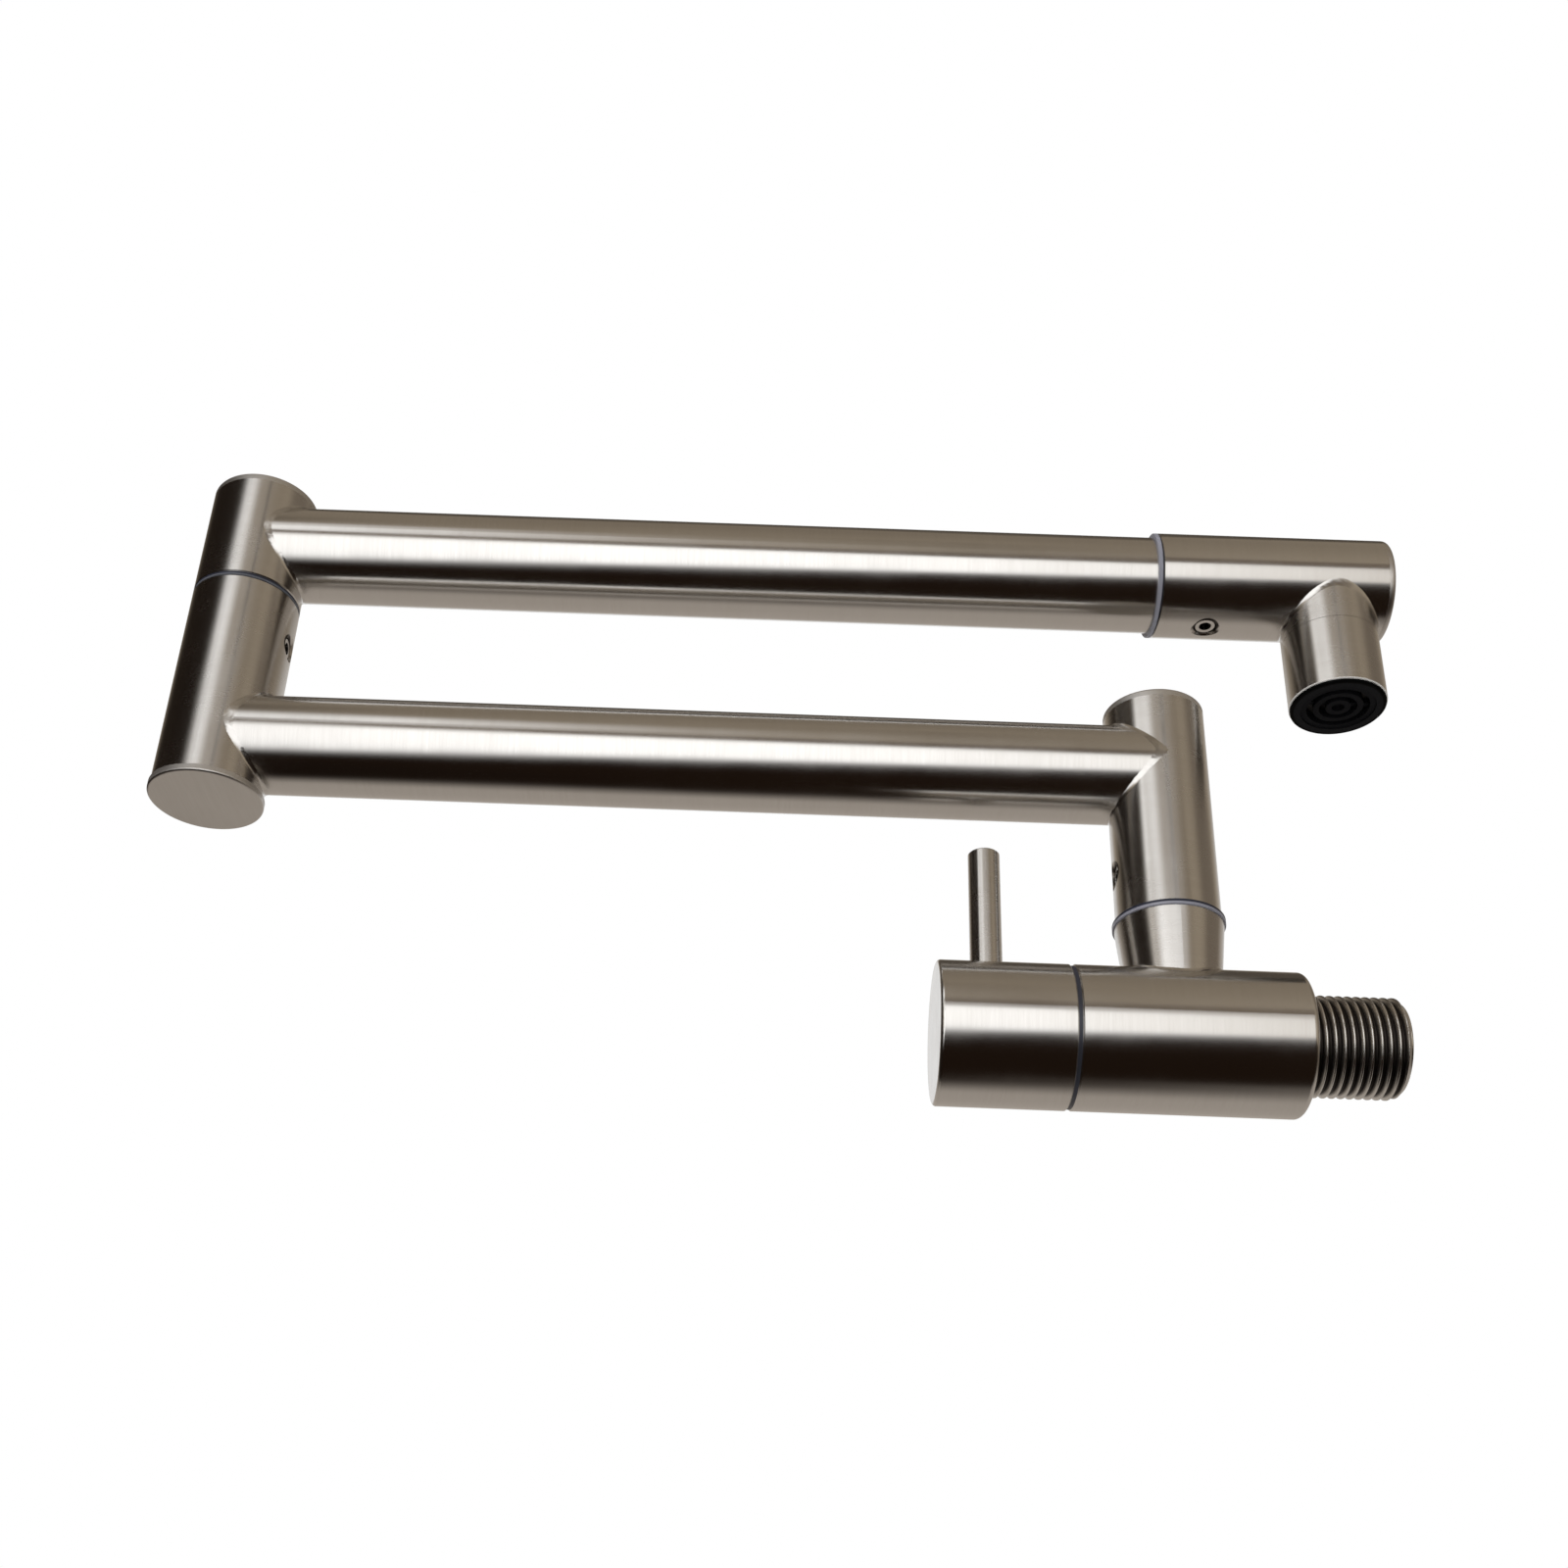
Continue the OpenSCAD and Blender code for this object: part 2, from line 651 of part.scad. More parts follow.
// Spindle from its foot in the cartridge to its splined end in the handle's hub
module spindle() {
    shaft_l = foot_y - shaft_end_y;
    spline_l = spindle_reach - (front_y - shaft_end_y);
    color(brass) union() {
        difference() {
            translate([0, shaft_end_y, 0]) to_plus_y() bar(shaft_d / 2, 0, shaft_l + edge_break);
            for (at = spindle_ring_places) spindle_groove(at, spindle_groove_w, spindle_groove_r);
            spindle_groove(clip_y, clip_t + 2 * seat_gap, clip_bore_r - seat_gap);
        }
        translate([0, foot_y, 0]) to_plus_y() bar(moving_r, 0, foot_t, edge_break, edge_break);
        tongue(0);
        translate([0, shaft_end_y + edge_break, 0]) to_minus_y()
            linear_extrude(height = spline_l + edge_break) spline_outline(0);
    }
}

// Tongue on the spindle's foot, grown by a clearance for its slot in the moving disc
module tongue(gap) {
    w = disc_rib - 4 * seat_gap + 2 * gap;
    l = tongue_l + 2 * gap;
    translate([-l / 2, foot_y, -w / 2]) cube([l, foot_t + tongue_depth + gap, w]);
}

module spindle_groove(at, w, root_r) {
    translate([0, at - w / 2, 0]) to_plus_y() difference() {
        cylinder(r = shaft_d, h = w);
        translate([0, 0, -past]) cylinder(r = root_r, h = w + 2 * past);
    }
}

module spindle_o_rings() {
    inner = spindle_groove_r + ring_gap / 2;
    outer = shaft_d / 2 + running_gap - ring_gap;
    color(rubber) for (at = spindle_ring_places)
        translate([0, at, 0]) to_plus_y() rotate_extrude() translate([(inner + outer) / 2, 0])
            circle(d = outer - inner);
}

module spindle_clip() {
    color(steel_inner) translate([0, clip_y - clip_t / 2, 0]) to_plus_y()
        rotate_extrude(angle = 300) translate([clip_bore_r, 0]) square([clip_d / 2 - clip_bore_r, clip_t]);
}

// The moving disc stands a quarter turn from the fixed one, so the valve is shut with the lever up
module moving_disc() {
    color(ceramic) difference() {
        translate([0, moving_disc_y, 0]) to_plus_y() difference() {
            bar(moving_r, 0, disc_t, edge_break, 0);
            rotate([0, 0, 90]) disc_ports();
        }
        tongue(seat_gap);
    }
}

// Lower arm: the riser that turns on the body, the arm and the elbow's sleeve

module riser_sleeve() {
    at_riser() sleeve(riser_d / 2, riser_to_arm + riser_above - cap_t, riser_to_arm);
}

module riser_cap() {
    color(steel) translate([0, riser_y, riser_top_z - cap_t])
        rounded_bar(riser_d / 2, 0, cap_t, cap_round);
}

module riser_set_screw() at_riser() set_screw(riser_d / 2);

// Arm tube on Y between two ends, cut to saddles where it meets upright posts
module arm_tube(y0, y1, z) {
    translate([0, y0, z]) to_plus_y() difference() {
        bar(arm_d / 2, 0, y1 - y0);
        translate([0, 0, -past]) cylinder(r = arm_bore_r, h = y1 - y0 + 2 * past);
    }
}

module saddle_cut(y, r) {
    translate([0, y, elbow_bottom_z]) cylinder(r = r + seat_gap, h = upper_arm_z);
}

module lower_arm() {
    color(steel) difference() {
        arm_tube(elbow_y, riser_y, lower_arm_z);
        saddle_cut(elbow_y, post_d / 2);
        saddle_cut(riser_y, riser_d / 2);
    }
}

module elbow_sleeve() {
    at_elbow() sleeve(post_d / 2, sleeve_above + sleeve_below - cap_t, sleeve_above);
}

module elbow_bottom_cap() {
    color(steel) translate([0, elbow_y, elbow_bottom_z + cap_t]) rotate([180, 0, 0])
        rounded_bar(disc_cap_d / 2, 0, cap_t, cap_round);
}

module elbow_set_screw() at_elbow() set_screw(post_d / 2);
module elbow_washer() at_elbow() washer(washer_d, washer_t);

// Upper arm: the elbow's post that turns in the sleeve, and the arm

module elbow_post() {
    color(steel) translate([0, elbow_y, upper_arm_z]) difference() {
        bar(post_d / 2, -post_half, post_half - cap_t, edge_break, 0);
        translate([0, 0, -post_half - past]) cylinder(r = post_bore_r, h = 2 * post_half + 2 * past);
        to_plus_y() cylinder(d = port_d, h = post_d);
    }
}

module elbow_top_cap() {
    color(steel) translate([0, elbow_y, upper_arm_z + post_half - cap_t])
        rounded_bar(post_d / 2, 0, cap_t, cap_round);
}

module elbow_spigot() at_elbow() spigot(post_bore_r);
module elbow_o_rings() at_elbow() o_rings();

module upper_arm() {
    color(steel) difference() {
        arm_tube(elbow_y, elbow_y + upper_arm_l, upper_arm_z);
        saddle_cut(elbow_y, post_d / 2);
    }
}

module head_spigot() at_head() spigot(arm_bore_r);
module head_o_rings() at_head() o_rings();
module head_washer() at_head() washer(washer_d, washer_t);

// Head: the sleeve that turns on the upper arm, the spout and the aerator

module head_sleeve() at_head() sleeve(head_d / 2, head_l - cap_t, spout_at);

module head_end_cap() {
    color(steel) at_head() rounded_bar(head_d / 2, head_l - cap_t, head_l, head_round);
}

module head_set_screw() at_head() set_screw(head_d / 2);

// The spout and the aerator stand on Z at the outlet, which is zero
module at_outlet() {
    translate([0, head_y + spout_at, upper_arm_z - spout_drop]) children();
}

module spout() {
    color(steel) difference() {
        at_outlet() difference() {
            bar(spout_d / 2, aerator_lip_t, spout_drop, edge_break / 2, 0);
            cylinder(r = spout_bore_r, h = shoulder_z);
            cylinder(d = port_d, h = spout_drop);
        }
        at_head() cylinder(r = head_d / 2 + seat_gap, h = head_l);
    }
}

// Housing with a lip that covers the spout's end
module aerator_housing() {
    color(black_plastic) at_outlet() difference() {
        union() {
            bar(spout_d / 2 - aerator_rim, 0, aerator_lip_t, edge_break, edge_break / 2);
            bar(spout_bore_r - seat_gap, aerator_lip_t / 2, aerator_top, 0, edge_break);
        }
        translate([0, 0, -past]) cylinder(r = aerator_bore_r, h = spout_drop);
    }
}

// The face that shows from below: rings around an open middle, on four spokes
module aerator_face() {
    face_r = aerator_bore_r - seat_gap;
    step = face_r / aerator_rings;
    spoke_t = aerator_face_t / 2;
    color(black_plastic) at_outlet() translate([0, 0, aerator_sink]) union() {
        for (i = [1 : aerator_rings]) difference() {
            cylinder(r = step * i, h = aerator_face_t);
            translate([0, 0, -past])
                cylinder(r = step * i - aerator_ring_w, h = aerator_face_t + 2 * past);
        }
        for (turn = [0, 90]) rotate([0, 0, turn])
            translate([-aerator_ring_w / 2, -face_r + aerator_ring_w / 2, aerator_face_t - spoke_t])
                cube([aerator_ring_w, 2 * face_r - aerator_ring_w, spoke_t]);
    }
}

// Two fine screens above the face, as plain discs
module aerator_screens() {
    face_top = aerator_sink + aerator_face_t;
    color(steel_inner) at_outlet() for (z = [face_top, face_top + 4 * screen_t])
        translate([0, 0, z]) cylinder(r = aerator_bore_r - seat_gap, h = screen_t);
}

module aerator_seal() {
    color(rubber) at_outlet() difference() {
        bar(spout_bore_r - seat_gap, aerator_top, shoulder_z, edge_break, edge_break);
        cylinder(r = aerator_bore_r, h = spout_drop);
    }
}

valve_body();
inlet_nipple();
cartridge_housing();
cartridge_o_ring();
cartridge_seal();
fixed_disc();
slip_ring();
riser_spigot();
riser_o_rings();
riser_washer();
handle();
handle_hub();
lever();
spindle();
spindle_o_rings();
spindle_clip();
moving_disc();
riser_sleeve();
riser_cap();
riser_set_screw();
lower_arm();
elbow_sleeve();
elbow_bottom_cap();
elbow_set_screw();
elbow_washer();
elbow_post();
elbow_top_cap();
elbow_spigot();
elbow_o_rings();
upper_arm();
head_spigot();
head_o_rings();
head_washer();
head_sleeve();
head_end_cap();
head_set_screw();
spout();
aerator_housing();
aerator_face();
aerator_screens();
aerator_seal();
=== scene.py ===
# %% [markdown]
# A folding kitchen faucet that screws into a wall, in brushed stainless steel. Water enters at
# the threaded end, a quarter-turn valve lets it into an upright riser, and two tubes, joined by
# an elbow, carry it to a short turning head with a spout. Here it lies folded up.
#
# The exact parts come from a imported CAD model. They stay where they are, at their real size,
# and this script gives them their finish and adds what a lathe, a welder and a polisher leave
# behind: a true helical thread, the welds where tubes meet, and the brushing of the steel.

from math import atan2, ceil, cos, pi, radians, sin, sqrt

import bmesh
import bpy
from mathutils import Matrix, Vector


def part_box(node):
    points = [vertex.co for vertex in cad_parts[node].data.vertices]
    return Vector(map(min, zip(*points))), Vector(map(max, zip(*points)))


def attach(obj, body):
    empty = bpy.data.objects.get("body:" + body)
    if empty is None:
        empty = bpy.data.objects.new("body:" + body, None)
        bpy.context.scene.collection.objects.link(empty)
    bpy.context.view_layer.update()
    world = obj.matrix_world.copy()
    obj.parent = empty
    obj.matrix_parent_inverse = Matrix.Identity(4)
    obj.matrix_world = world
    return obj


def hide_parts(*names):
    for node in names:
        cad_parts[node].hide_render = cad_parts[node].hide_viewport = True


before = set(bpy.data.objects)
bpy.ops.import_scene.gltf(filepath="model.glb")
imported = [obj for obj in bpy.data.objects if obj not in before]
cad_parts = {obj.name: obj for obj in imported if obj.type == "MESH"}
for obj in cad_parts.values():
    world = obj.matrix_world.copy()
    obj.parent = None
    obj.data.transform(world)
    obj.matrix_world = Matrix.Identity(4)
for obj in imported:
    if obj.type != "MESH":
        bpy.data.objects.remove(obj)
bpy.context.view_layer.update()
MM = 0.001


# %% [markdown]
# Most places and radii are measured on the fixed parts, and not typed in again. An upright
# tube gives its axis and radius in plan, and a tube that lies along Y gives its axis height.

# %% Measure the tubes
def middle(node):
    low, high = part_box(node)
    return (low + high) / 2


def half_size(node):
    low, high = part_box(node)
    return (high - low) / 2


arm_r = half_size("lower_arm").z
riser_r = half_size("riser_sleeve").x
post_r = half_size("elbow_post").x
sleeve_r = half_size("elbow_sleeve").x
head_r = half_size("head_sleeve").x
body_r = half_size("valve_body").x
riser_y = middle("riser_sleeve").y
elbow_y = middle("elbow_sleeve").y
lower_arm_z = middle("lower_arm").z
upper_arm_z = middle("upper_arm").z
spout_y = middle("spout").y
print("arm radius", round(arm_r / MM, 2), "mm; riser at y", round(riser_y / MM, 2), "mm")


# %% [markdown]
# The camera looks up at the faucet's side from below. Its place, its turn and the focal length,
# in pixels, were found by matching the faucet's edges in the photograph, whose frame is 1600
# pixels square. The photograph's optical centre isn't its middle, so the lens is shifted.

# %% Camera
PHOTO_SIDE = 1600
SENSOR_WIDTH = 36
FOCAL_LENGTH = 1810.6
OPTICAL_CENTRE = (773.2, 966.3)
CAMERA_TURN = radians(0.66)
CAMERA_TILT = radians(-27.23)
CAMERA_ROLL = radians(2.41)
CAMERA_DISTANCE = 371.06 * MM
CAMERA_TARGET = Vector((0, -111.1, 18.15)) * MM
NEAREST_SEEN = 0.02
FARTHEST_SEEN = 30


def make_camera():
    data = bpy.data.cameras.new("photo_camera")
    data.sensor_width = SENSOR_WIDTH
    data.lens = FOCAL_LENGTH * SENSOR_WIDTH / PHOTO_SIDE
    data.shift_x = (PHOTO_SIDE / 2 - OPTICAL_CENTRE[0]) / PHOTO_SIDE
    data.shift_y = (OPTICAL_CENTRE[1] - PHOTO_SIDE / 2) / PHOTO_SIDE
    data.clip_start = NEAREST_SEEN
    data.clip_end = FARTHEST_SEEN
    camera = bpy.data.objects.new("photo_camera", data)
    bpy.context.scene.collection.objects.link(camera)
    back = Vector((cos(CAMERA_TURN) * cos(CAMERA_TILT), sin(CAMERA_TURN) * cos(CAMERA_TILT),
                   sin(CAMERA_TILT)))
    level = Vector((-sin(CAMERA_TURN), cos(CAMERA_TURN), 0))
    upright = back.cross(level)
    right = cos(CAMERA_ROLL) * level + sin(CAMERA_ROLL) * upright
    up = cos(CAMERA_ROLL) * upright - sin(CAMERA_ROLL) * level
    turn = Matrix((right, up, back)).transposed()
    camera.matrix_world = Matrix.Translation(CAMERA_TARGET + back * CAMERA_DISTANCE) @ turn.to_4x4()
    bpy.context.scene.camera = camera
    return camera


camera = make_camera()
print("camera at", [round(c, 3) for c in camera.matrix_world.translation])


# %% [markdown]
# Shader nodes take many lines to make one by one, so small helpers make the common ones. An
# input can be a number, a colour or another node's output, and a helper gives back the output
# that the next node needs.

# %% Node helpers
def math_node(tree, operation, a, b=None):
    node = tree.nodes.new("ShaderNodeMath")
    node.operation = operation
    for socket, value in zip(node.inputs, (a, b)):
        if value is None:
            continue
        if isinstance(value, (int, float)):
            socket.default_value = value
        else:
            tree.links.new(value, socket)
    return node.outputs[0]


def map_range(tree, value, from_min, from_max, to_min, to_max):
    node = tree.nodes.new("ShaderNodeMapRange")
    for label, number in (("From Min", from_min), ("From Max", from_max),
                          ("To Min", to_min), ("To Max", to_max)):
        if isinstance(number, (int, float)):
            node.inputs[label].default_value = number
        else:
            tree.links.new(number, node.inputs[label])
    tree.links.new(value, node.inputs["Value"])
    return node.outputs[0]


def mix_colour(tree, factor, a, b):
    node = tree.nodes.new("ShaderNodeMix")
    node.data_type = "RGBA"
    tree.links.new(factor, node.inputs["Factor"])
    for label, value in (("A", a), ("B", b)):
        if isinstance(value, tuple):
            node.inputs[label].default_value = (*value, 1)
        else:
            tree.links.new(value, node.inputs[label])
    return node.outputs["Result"]


print("node helpers ready")


# %% [markdown]
# Most of what a polished tube shows is the room around it, so the room is built first. A plain
# white world makes the background. Its light on matt surfaces is set apart, so that a colour
# renders about as it is written. Light Path tells the two apart.

# %% World
SOFT_FILL = 0.62
BACKGROUND_WHITE = 1


def make_world():
    world = bpy.data.worlds.new("white_studio")
    world.use_nodes = True
    tree = world.node_tree
    tree.nodes.clear()
    path = tree.nodes.new("ShaderNodeLightPath")
    seen = math_node(tree, "MAXIMUM", path.outputs["Is Camera Ray"], path.outputs["Is Glossy Ray"])
    seen = math_node(tree, "MAXIMUM", seen, path.outputs["Is Transmission Ray"])
    mix = tree.nodes.new("ShaderNodeMixShader")
    tree.links.new(seen, mix.inputs[0])
    for strength, socket in ((SOFT_FILL, mix.inputs[1]), (BACKGROUND_WHITE, mix.inputs[2])):
        light = tree.nodes.new("ShaderNodeBackground")
        light.inputs["Color"].default_value = (1, 1, 1, 1)
        light.inputs["Strength"].default_value = strength
        tree.links.new(light.outputs[0], socket)
    out = tree.nodes.new("ShaderNodeOutputWorld")
    tree.links.new(mix.outputs[0], out.inputs["Surface"])
    bpy.context.scene.world = world
    return world


make_world()
bpy.context.scene.view_settings.view_transform = "Standard"
print("world: white background, soft fill", SOFT_FILL)


# %% [markdown]
# A photographer lights metal with boards: a bright panel makes the white band along a tube,
# and dark boards make the bands that give it shape. A board here glows in one colour, or runs
# from one at its foot to another at its top. Its edges fade out, as the edge of a real soft
# light does, over a share of its width or height that is given for each edge.

# %% Board material
def board_material(name, low_colour, high_colour, strength, soft_edges):
    material = bpy.data.materials.new(name)
    material.use_nodes = True
    tree = material.node_tree
    tree.nodes.clear()
    uv = tree.nodes.new("ShaderNodeUVMap")
    uv.uv_map = "board"
    split = tree.nodes.new("ShaderNodeSeparateXYZ")
    tree.links.new(uv.outputs[0], split.inputs[0])
    whole = tree.nodes.new("ShaderNodeValue")
    whole.outputs[0].default_value = 1
    mask = whole.outputs[0]
    for axis, widths in enumerate(soft_edges):
        for edge, width in enumerate(widths):
            if width > 0:
                fade = map_range(tree, split.outputs[axis], edge, abs(edge - width), 0.0, 1.0)
                fade.node.interpolation_type = "SMOOTHSTEP"
                mask = math_node(tree, "MULTIPLY", mask, fade)
    glow = tree.nodes.new("ShaderNodeEmission")
    glow.inputs["Strength"].default_value = strength
    tree.links.new(mix_colour(tree, split.outputs[1], low_colour, high_colour), glow.inputs["Color"])
    clear = tree.nodes.new("ShaderNodeBsdfTransparent")
    mix = tree.nodes.new("ShaderNodeMixShader")
    tree.links.new(mask, mix.inputs[0])
    tree.links.new(clear.outputs[0], mix.inputs[1])
    tree.links.new(glow.outputs[0], mix.inputs[2])
    out = tree.nodes.new("ShaderNodeOutputMaterial")
    tree.links.new(mix.outputs[0], out.inputs["Surface"])
    return material


print("board material ready")


# %% [markdown]
# Each board is a piece of a big ball around the faucet, given by its limits in azimuth and
# elevation, in degrees. A flat board would do, but a bent one says exactly which directions it
# fills. It starts as a flat grid, whose points move onto the ball, and its lower edge can
# slope. The boards show only in reflections.

# %% Board shape
BOARD_CENTRE = Vector((0, -0.11, 0.06))
BOARD_SEGMENTS = (36, 24)


def make_board(name, azimuths, elevations, low_colour, high_colour=None, strength=1.0,
               soft=((0, 0), (0, 0)), low_edge_slope=0, distance=1.6):
    bm = bmesh.new()
    layer = bm.loops.layers.uv.new("board")
    across_count, up_count = BOARD_SEGMENTS
    bmesh.ops.create_grid(bm, x_segments=across_count, y_segments=up_count, size=0.5, calc_uvs=False)
    for face in bm.faces:
        for loop in face.loops:
            loop[layer].uv = (loop.vert.co.x + 0.5, loop.vert.co.y + 0.5)
    for vert in bm.verts:
        across = vert.co.x + 0.5
        up = vert.co.y + 0.5
        azimuth = radians(azimuths[0] + (azimuths[1] - azimuths[0]) * across)
        elevation = radians(elevations[0] + (elevations[1] - elevations[0]) * up
                            + low_edge_slope * (across - 0.5) * (1 - up))
        outwards = Vector((cos(azimuth) * cos(elevation), sin(azimuth) * cos(elevation),
                           sin(elevation)))
        vert.co = BOARD_CENTRE + distance * outwards
    mesh = bpy.data.meshes.new(name)
    bm.to_mesh(mesh)
    bm.free()
    board = bpy.data.objects.new(name, mesh)
    bpy.context.scene.collection.objects.link(board)
    mesh.materials.append(board_material(name, low_colour, high_colour or low_colour, strength, soft))
    board.visible_camera = False
    board.visible_diffuse = False
    board.visible_transmission = False
    board.visible_volume_scatter = False
    board.visible_shadow = False
    return board


print("board grid:", BOARD_SEGMENTS, "faces")


# %% [markdown]
# Two big boards, one beige and one nearly black, close the room. The others stand in front of
# them, out of reach of the arms in every pose. Bright boards make the white bands on the
# tubes, and darker ones, nearer still, cut those bands off or break them up.

# %% Place the boards
BROWN_BLACK = (0.014, 0.008, 0.005)
COLD_BLACK = (0.011, 0.007, 0.005)
BEIGE_SHADE = (0.15, 0.115, 0.085)
SOFTBOX_WHITE = (1.0, 1.0, 1.0)
BOARDS = [
    dict(name="beige_room", azimuths=(-180, 180), elevations=(-12, 90), distance=2.0,
         low_colour=(0.44, 0.37, 0.28), high_colour=(0.23, 0.19, 0.145)),
    dict(name="dark_ground", azimuths=(-180, 180), elevations=(-90, -12), distance=2.0,
         low_colour=BROWN_BLACK),
    dict(name="back_wall", azimuths=(80, 262), elevations=(-80, 30), distance=1.9,
         low_colour=(0.44, 0.395, 0.35), high_colour=(0.45, 0.405, 0.36),
         soft=((0.15, 0.2), (0.28, 0.1))),
    dict(name="right_shade", azimuths=(58, 120), elevations=(-20, 62), distance=1.85,
         low_colour=(0.19, 0.155, 0.12), soft=((0.3, 0.2), (0.1, 0.2))),
    dict(name="white_back", azimuths=(122, 214), elevations=(10, 40), distance=1.8,
         low_colour=SOFTBOX_WHITE, strength=0.9, soft=((0.35, 0.15), (0.35, 0.5))),
    dict(name="left_dark_board", azimuths=(-150, -80), elevations=(-80, 64), distance=1.7,
         low_colour=COLD_BLACK, soft=((0.5, 0.1), (0.1, 0.15))),
    dict(name="upper_dark_back", azimuths=(118, 236), elevations=(34, 80), distance=1.75,
         low_colour=(0.09, 0.075, 0.06), soft=((0.1, 0.1), (0.25, 0.2))),
    dict(name="front_softbox", azimuths=(-42, 36), elevations=(-31, 20), distance=1.6,
         low_colour=SOFTBOX_WHITE, strength=1.75, soft=((0.25, 0.4), (0.2, 0.1)),
         low_edge_slope=47),
    dict(name="tall_softbox", azimuths=(-64, -4), elevations=(14, 52), distance=1.5,
         low_colour=SOFTBOX_WHITE, strength=1.5, soft=((0.3, 0.35), (0.2, 0.4))),
    dict(name="window_bar", azimuths=(-44, -6), elevations=(20, 29), distance=1.45,
         low_colour=BEIGE_SHADE, soft=((0.1, 0.1), (0.15, 0.3))),
    dict(name="window_bar_right", azimuths=(-10, 46), elevations=(17, 30), distance=1.45,
         low_colour=BEIGE_SHADE, soft=((0.1, 0.1), (0.1, 0.3))),
    dict(name="window_post", azimuths=(9, 15), elevations=(14, 62), distance=1.44,
         low_colour=(0.07, 0.055, 0.045), soft=((0.3, 0.3), (0.1, 0.1))),
    dict(name="near_dark_board", azimuths=(-110, -41), elevations=(-80, 64), distance=0.48,
         low_colour=COLD_BLACK, soft=((0.25, 0.2), (0.1, 0.15))),
]
for board in BOARDS:
    make_board(**board)
print("boards:", len(BOARDS))


# %% [markdown]
# Matt pieces and the floor need light that isn't only a reflection: one big soft lamp from
# above and in front. The floor is a plain pale sheet, well below the faucet, which hangs free
# as it would on its wall. The camera looks up, so the floor shows only in other views.

# %% Lamp and floor
FLOOR_Z = -0.42
FLOOR_HALF_SIDE = 8
FLOOR_WHITE = (0.86, 0.86, 0.85)


def make_lamp(name, place, aim, side, watts):
    data = bpy.data.lights.new(name, "AREA")
    data.shape = "SQUARE"
    data.size = side
    data.energy = watts
    lamp = bpy.data.objects.new(name, data)
    bpy.context.scene.collection.objects.link(lamp)
    lamp.location = place
    lamp.rotation_euler = (Vector(aim) - Vector(place)).to_track_quat("-Z", "Y").to_euler()
    lamp.visible_glossy = False
    return lamp


def floor_material():
    material = bpy.data.materials.new("pale_floor")
    material.use_nodes = True
    shader = material.node_tree.nodes["Principled BSDF"]
    shader.inputs["Base Color"].default_value = (*FLOOR_WHITE, 1)
    shader.inputs["Roughness"].default_value = 0.9
    return material


def make_floor():
    bm = bmesh.new()
    bmesh.ops.create_grid(bm, x_segments=2, y_segments=2, size=FLOOR_HALF_SIDE)
    bmesh.ops.translate(bm, verts=bm.verts, vec=(0, 0, FLOOR_Z))
    mesh = bpy.data.meshes.new("floor")
    bm.to_mesh(mesh)
    bm.free()
    floor = bpy.data.objects.new("floor", mesh)
    bpy.context.scene.collection.objects.link(floor)
    mesh.materials.append(floor_material())
    floor.visible_glossy = False
    return floor


make_lamp("soft_lamp", place=(1.2, -0.9, 1.4), aim=(0, -0.1, 0.05), side=1.2, watts=28)
make_floor()
print("floor at", FLOOR_Z)


# %% [markdown]
# Brushing, turning marks and handling marks are effects that several finishes share, so each
# one is a node group with named inputs. A group puts out values, and the shader itself stays
# in the material. Three more helpers are needed for that.

# %% Group helpers
def new_group(name, inputs, outputs):
    group = bpy.data.node_groups.new(name, "ShaderNodeTree")
    for label, kind, value in inputs:
        socket = group.interface.new_socket(label, in_out="INPUT", socket_type=kind)
        if value is not None:
            socket.default_value = value
    for label, kind in outputs:
        group.interface.new_socket(label, in_out="OUTPUT", socket_type=kind)
    source = group.nodes.new("NodeGroupInput")
    result = group.nodes.new("NodeGroupOutput")
    return group, source, result


def vector_node(tree, operation, a, b):
    node = tree.nodes.new("ShaderNodeVectorMath")
    node.operation = operation
    for socket, value in zip(node.inputs, (a, b)):
        if isinstance(value, (tuple, list)):
            socket.default_value = value
        else:
            tree.links.new(value, socket)
    return node.outputs[0]


def noise_node(tree, vector, scale, detail=2.0, roughness=0.5):
    node = tree.nodes.new("ShaderNodeTexNoise")
    node.inputs["Scale"].default_value = scale
    node.inputs["Detail"].default_value = detail
    node.inputs["Roughness"].default_value = roughness
    tree.links.new(vector, node.inputs["Vector"])
    return node.outputs["Fac"]


print("group helpers ready")


# %% [markdown]
# Brushed steel has fine scratches along one direction. Stretched noise gives them: its
# coordinates are squeezed along the brushing, so that each speck becomes a long streak. Three
# widths together look like a real abrasive belt: hair lines, streaks and faint wide bands.
# These tubes were spun against the belt, so the scratches run round them. Scratches scatter
# light only across themselves, so a reflection is drawn out along the tube and stays crisp
# round it. The shader's anisotropy does that, and its tangent is the tube's own axis, a hair
# off, so that the flat ends have a direction too.

# %% Brushing
HAIR_LINES, STREAKS, WIDE_BANDS = 7000, 2200, 420
HAIR_SHARE = 0.45
WIDE_SHARE = 0.2


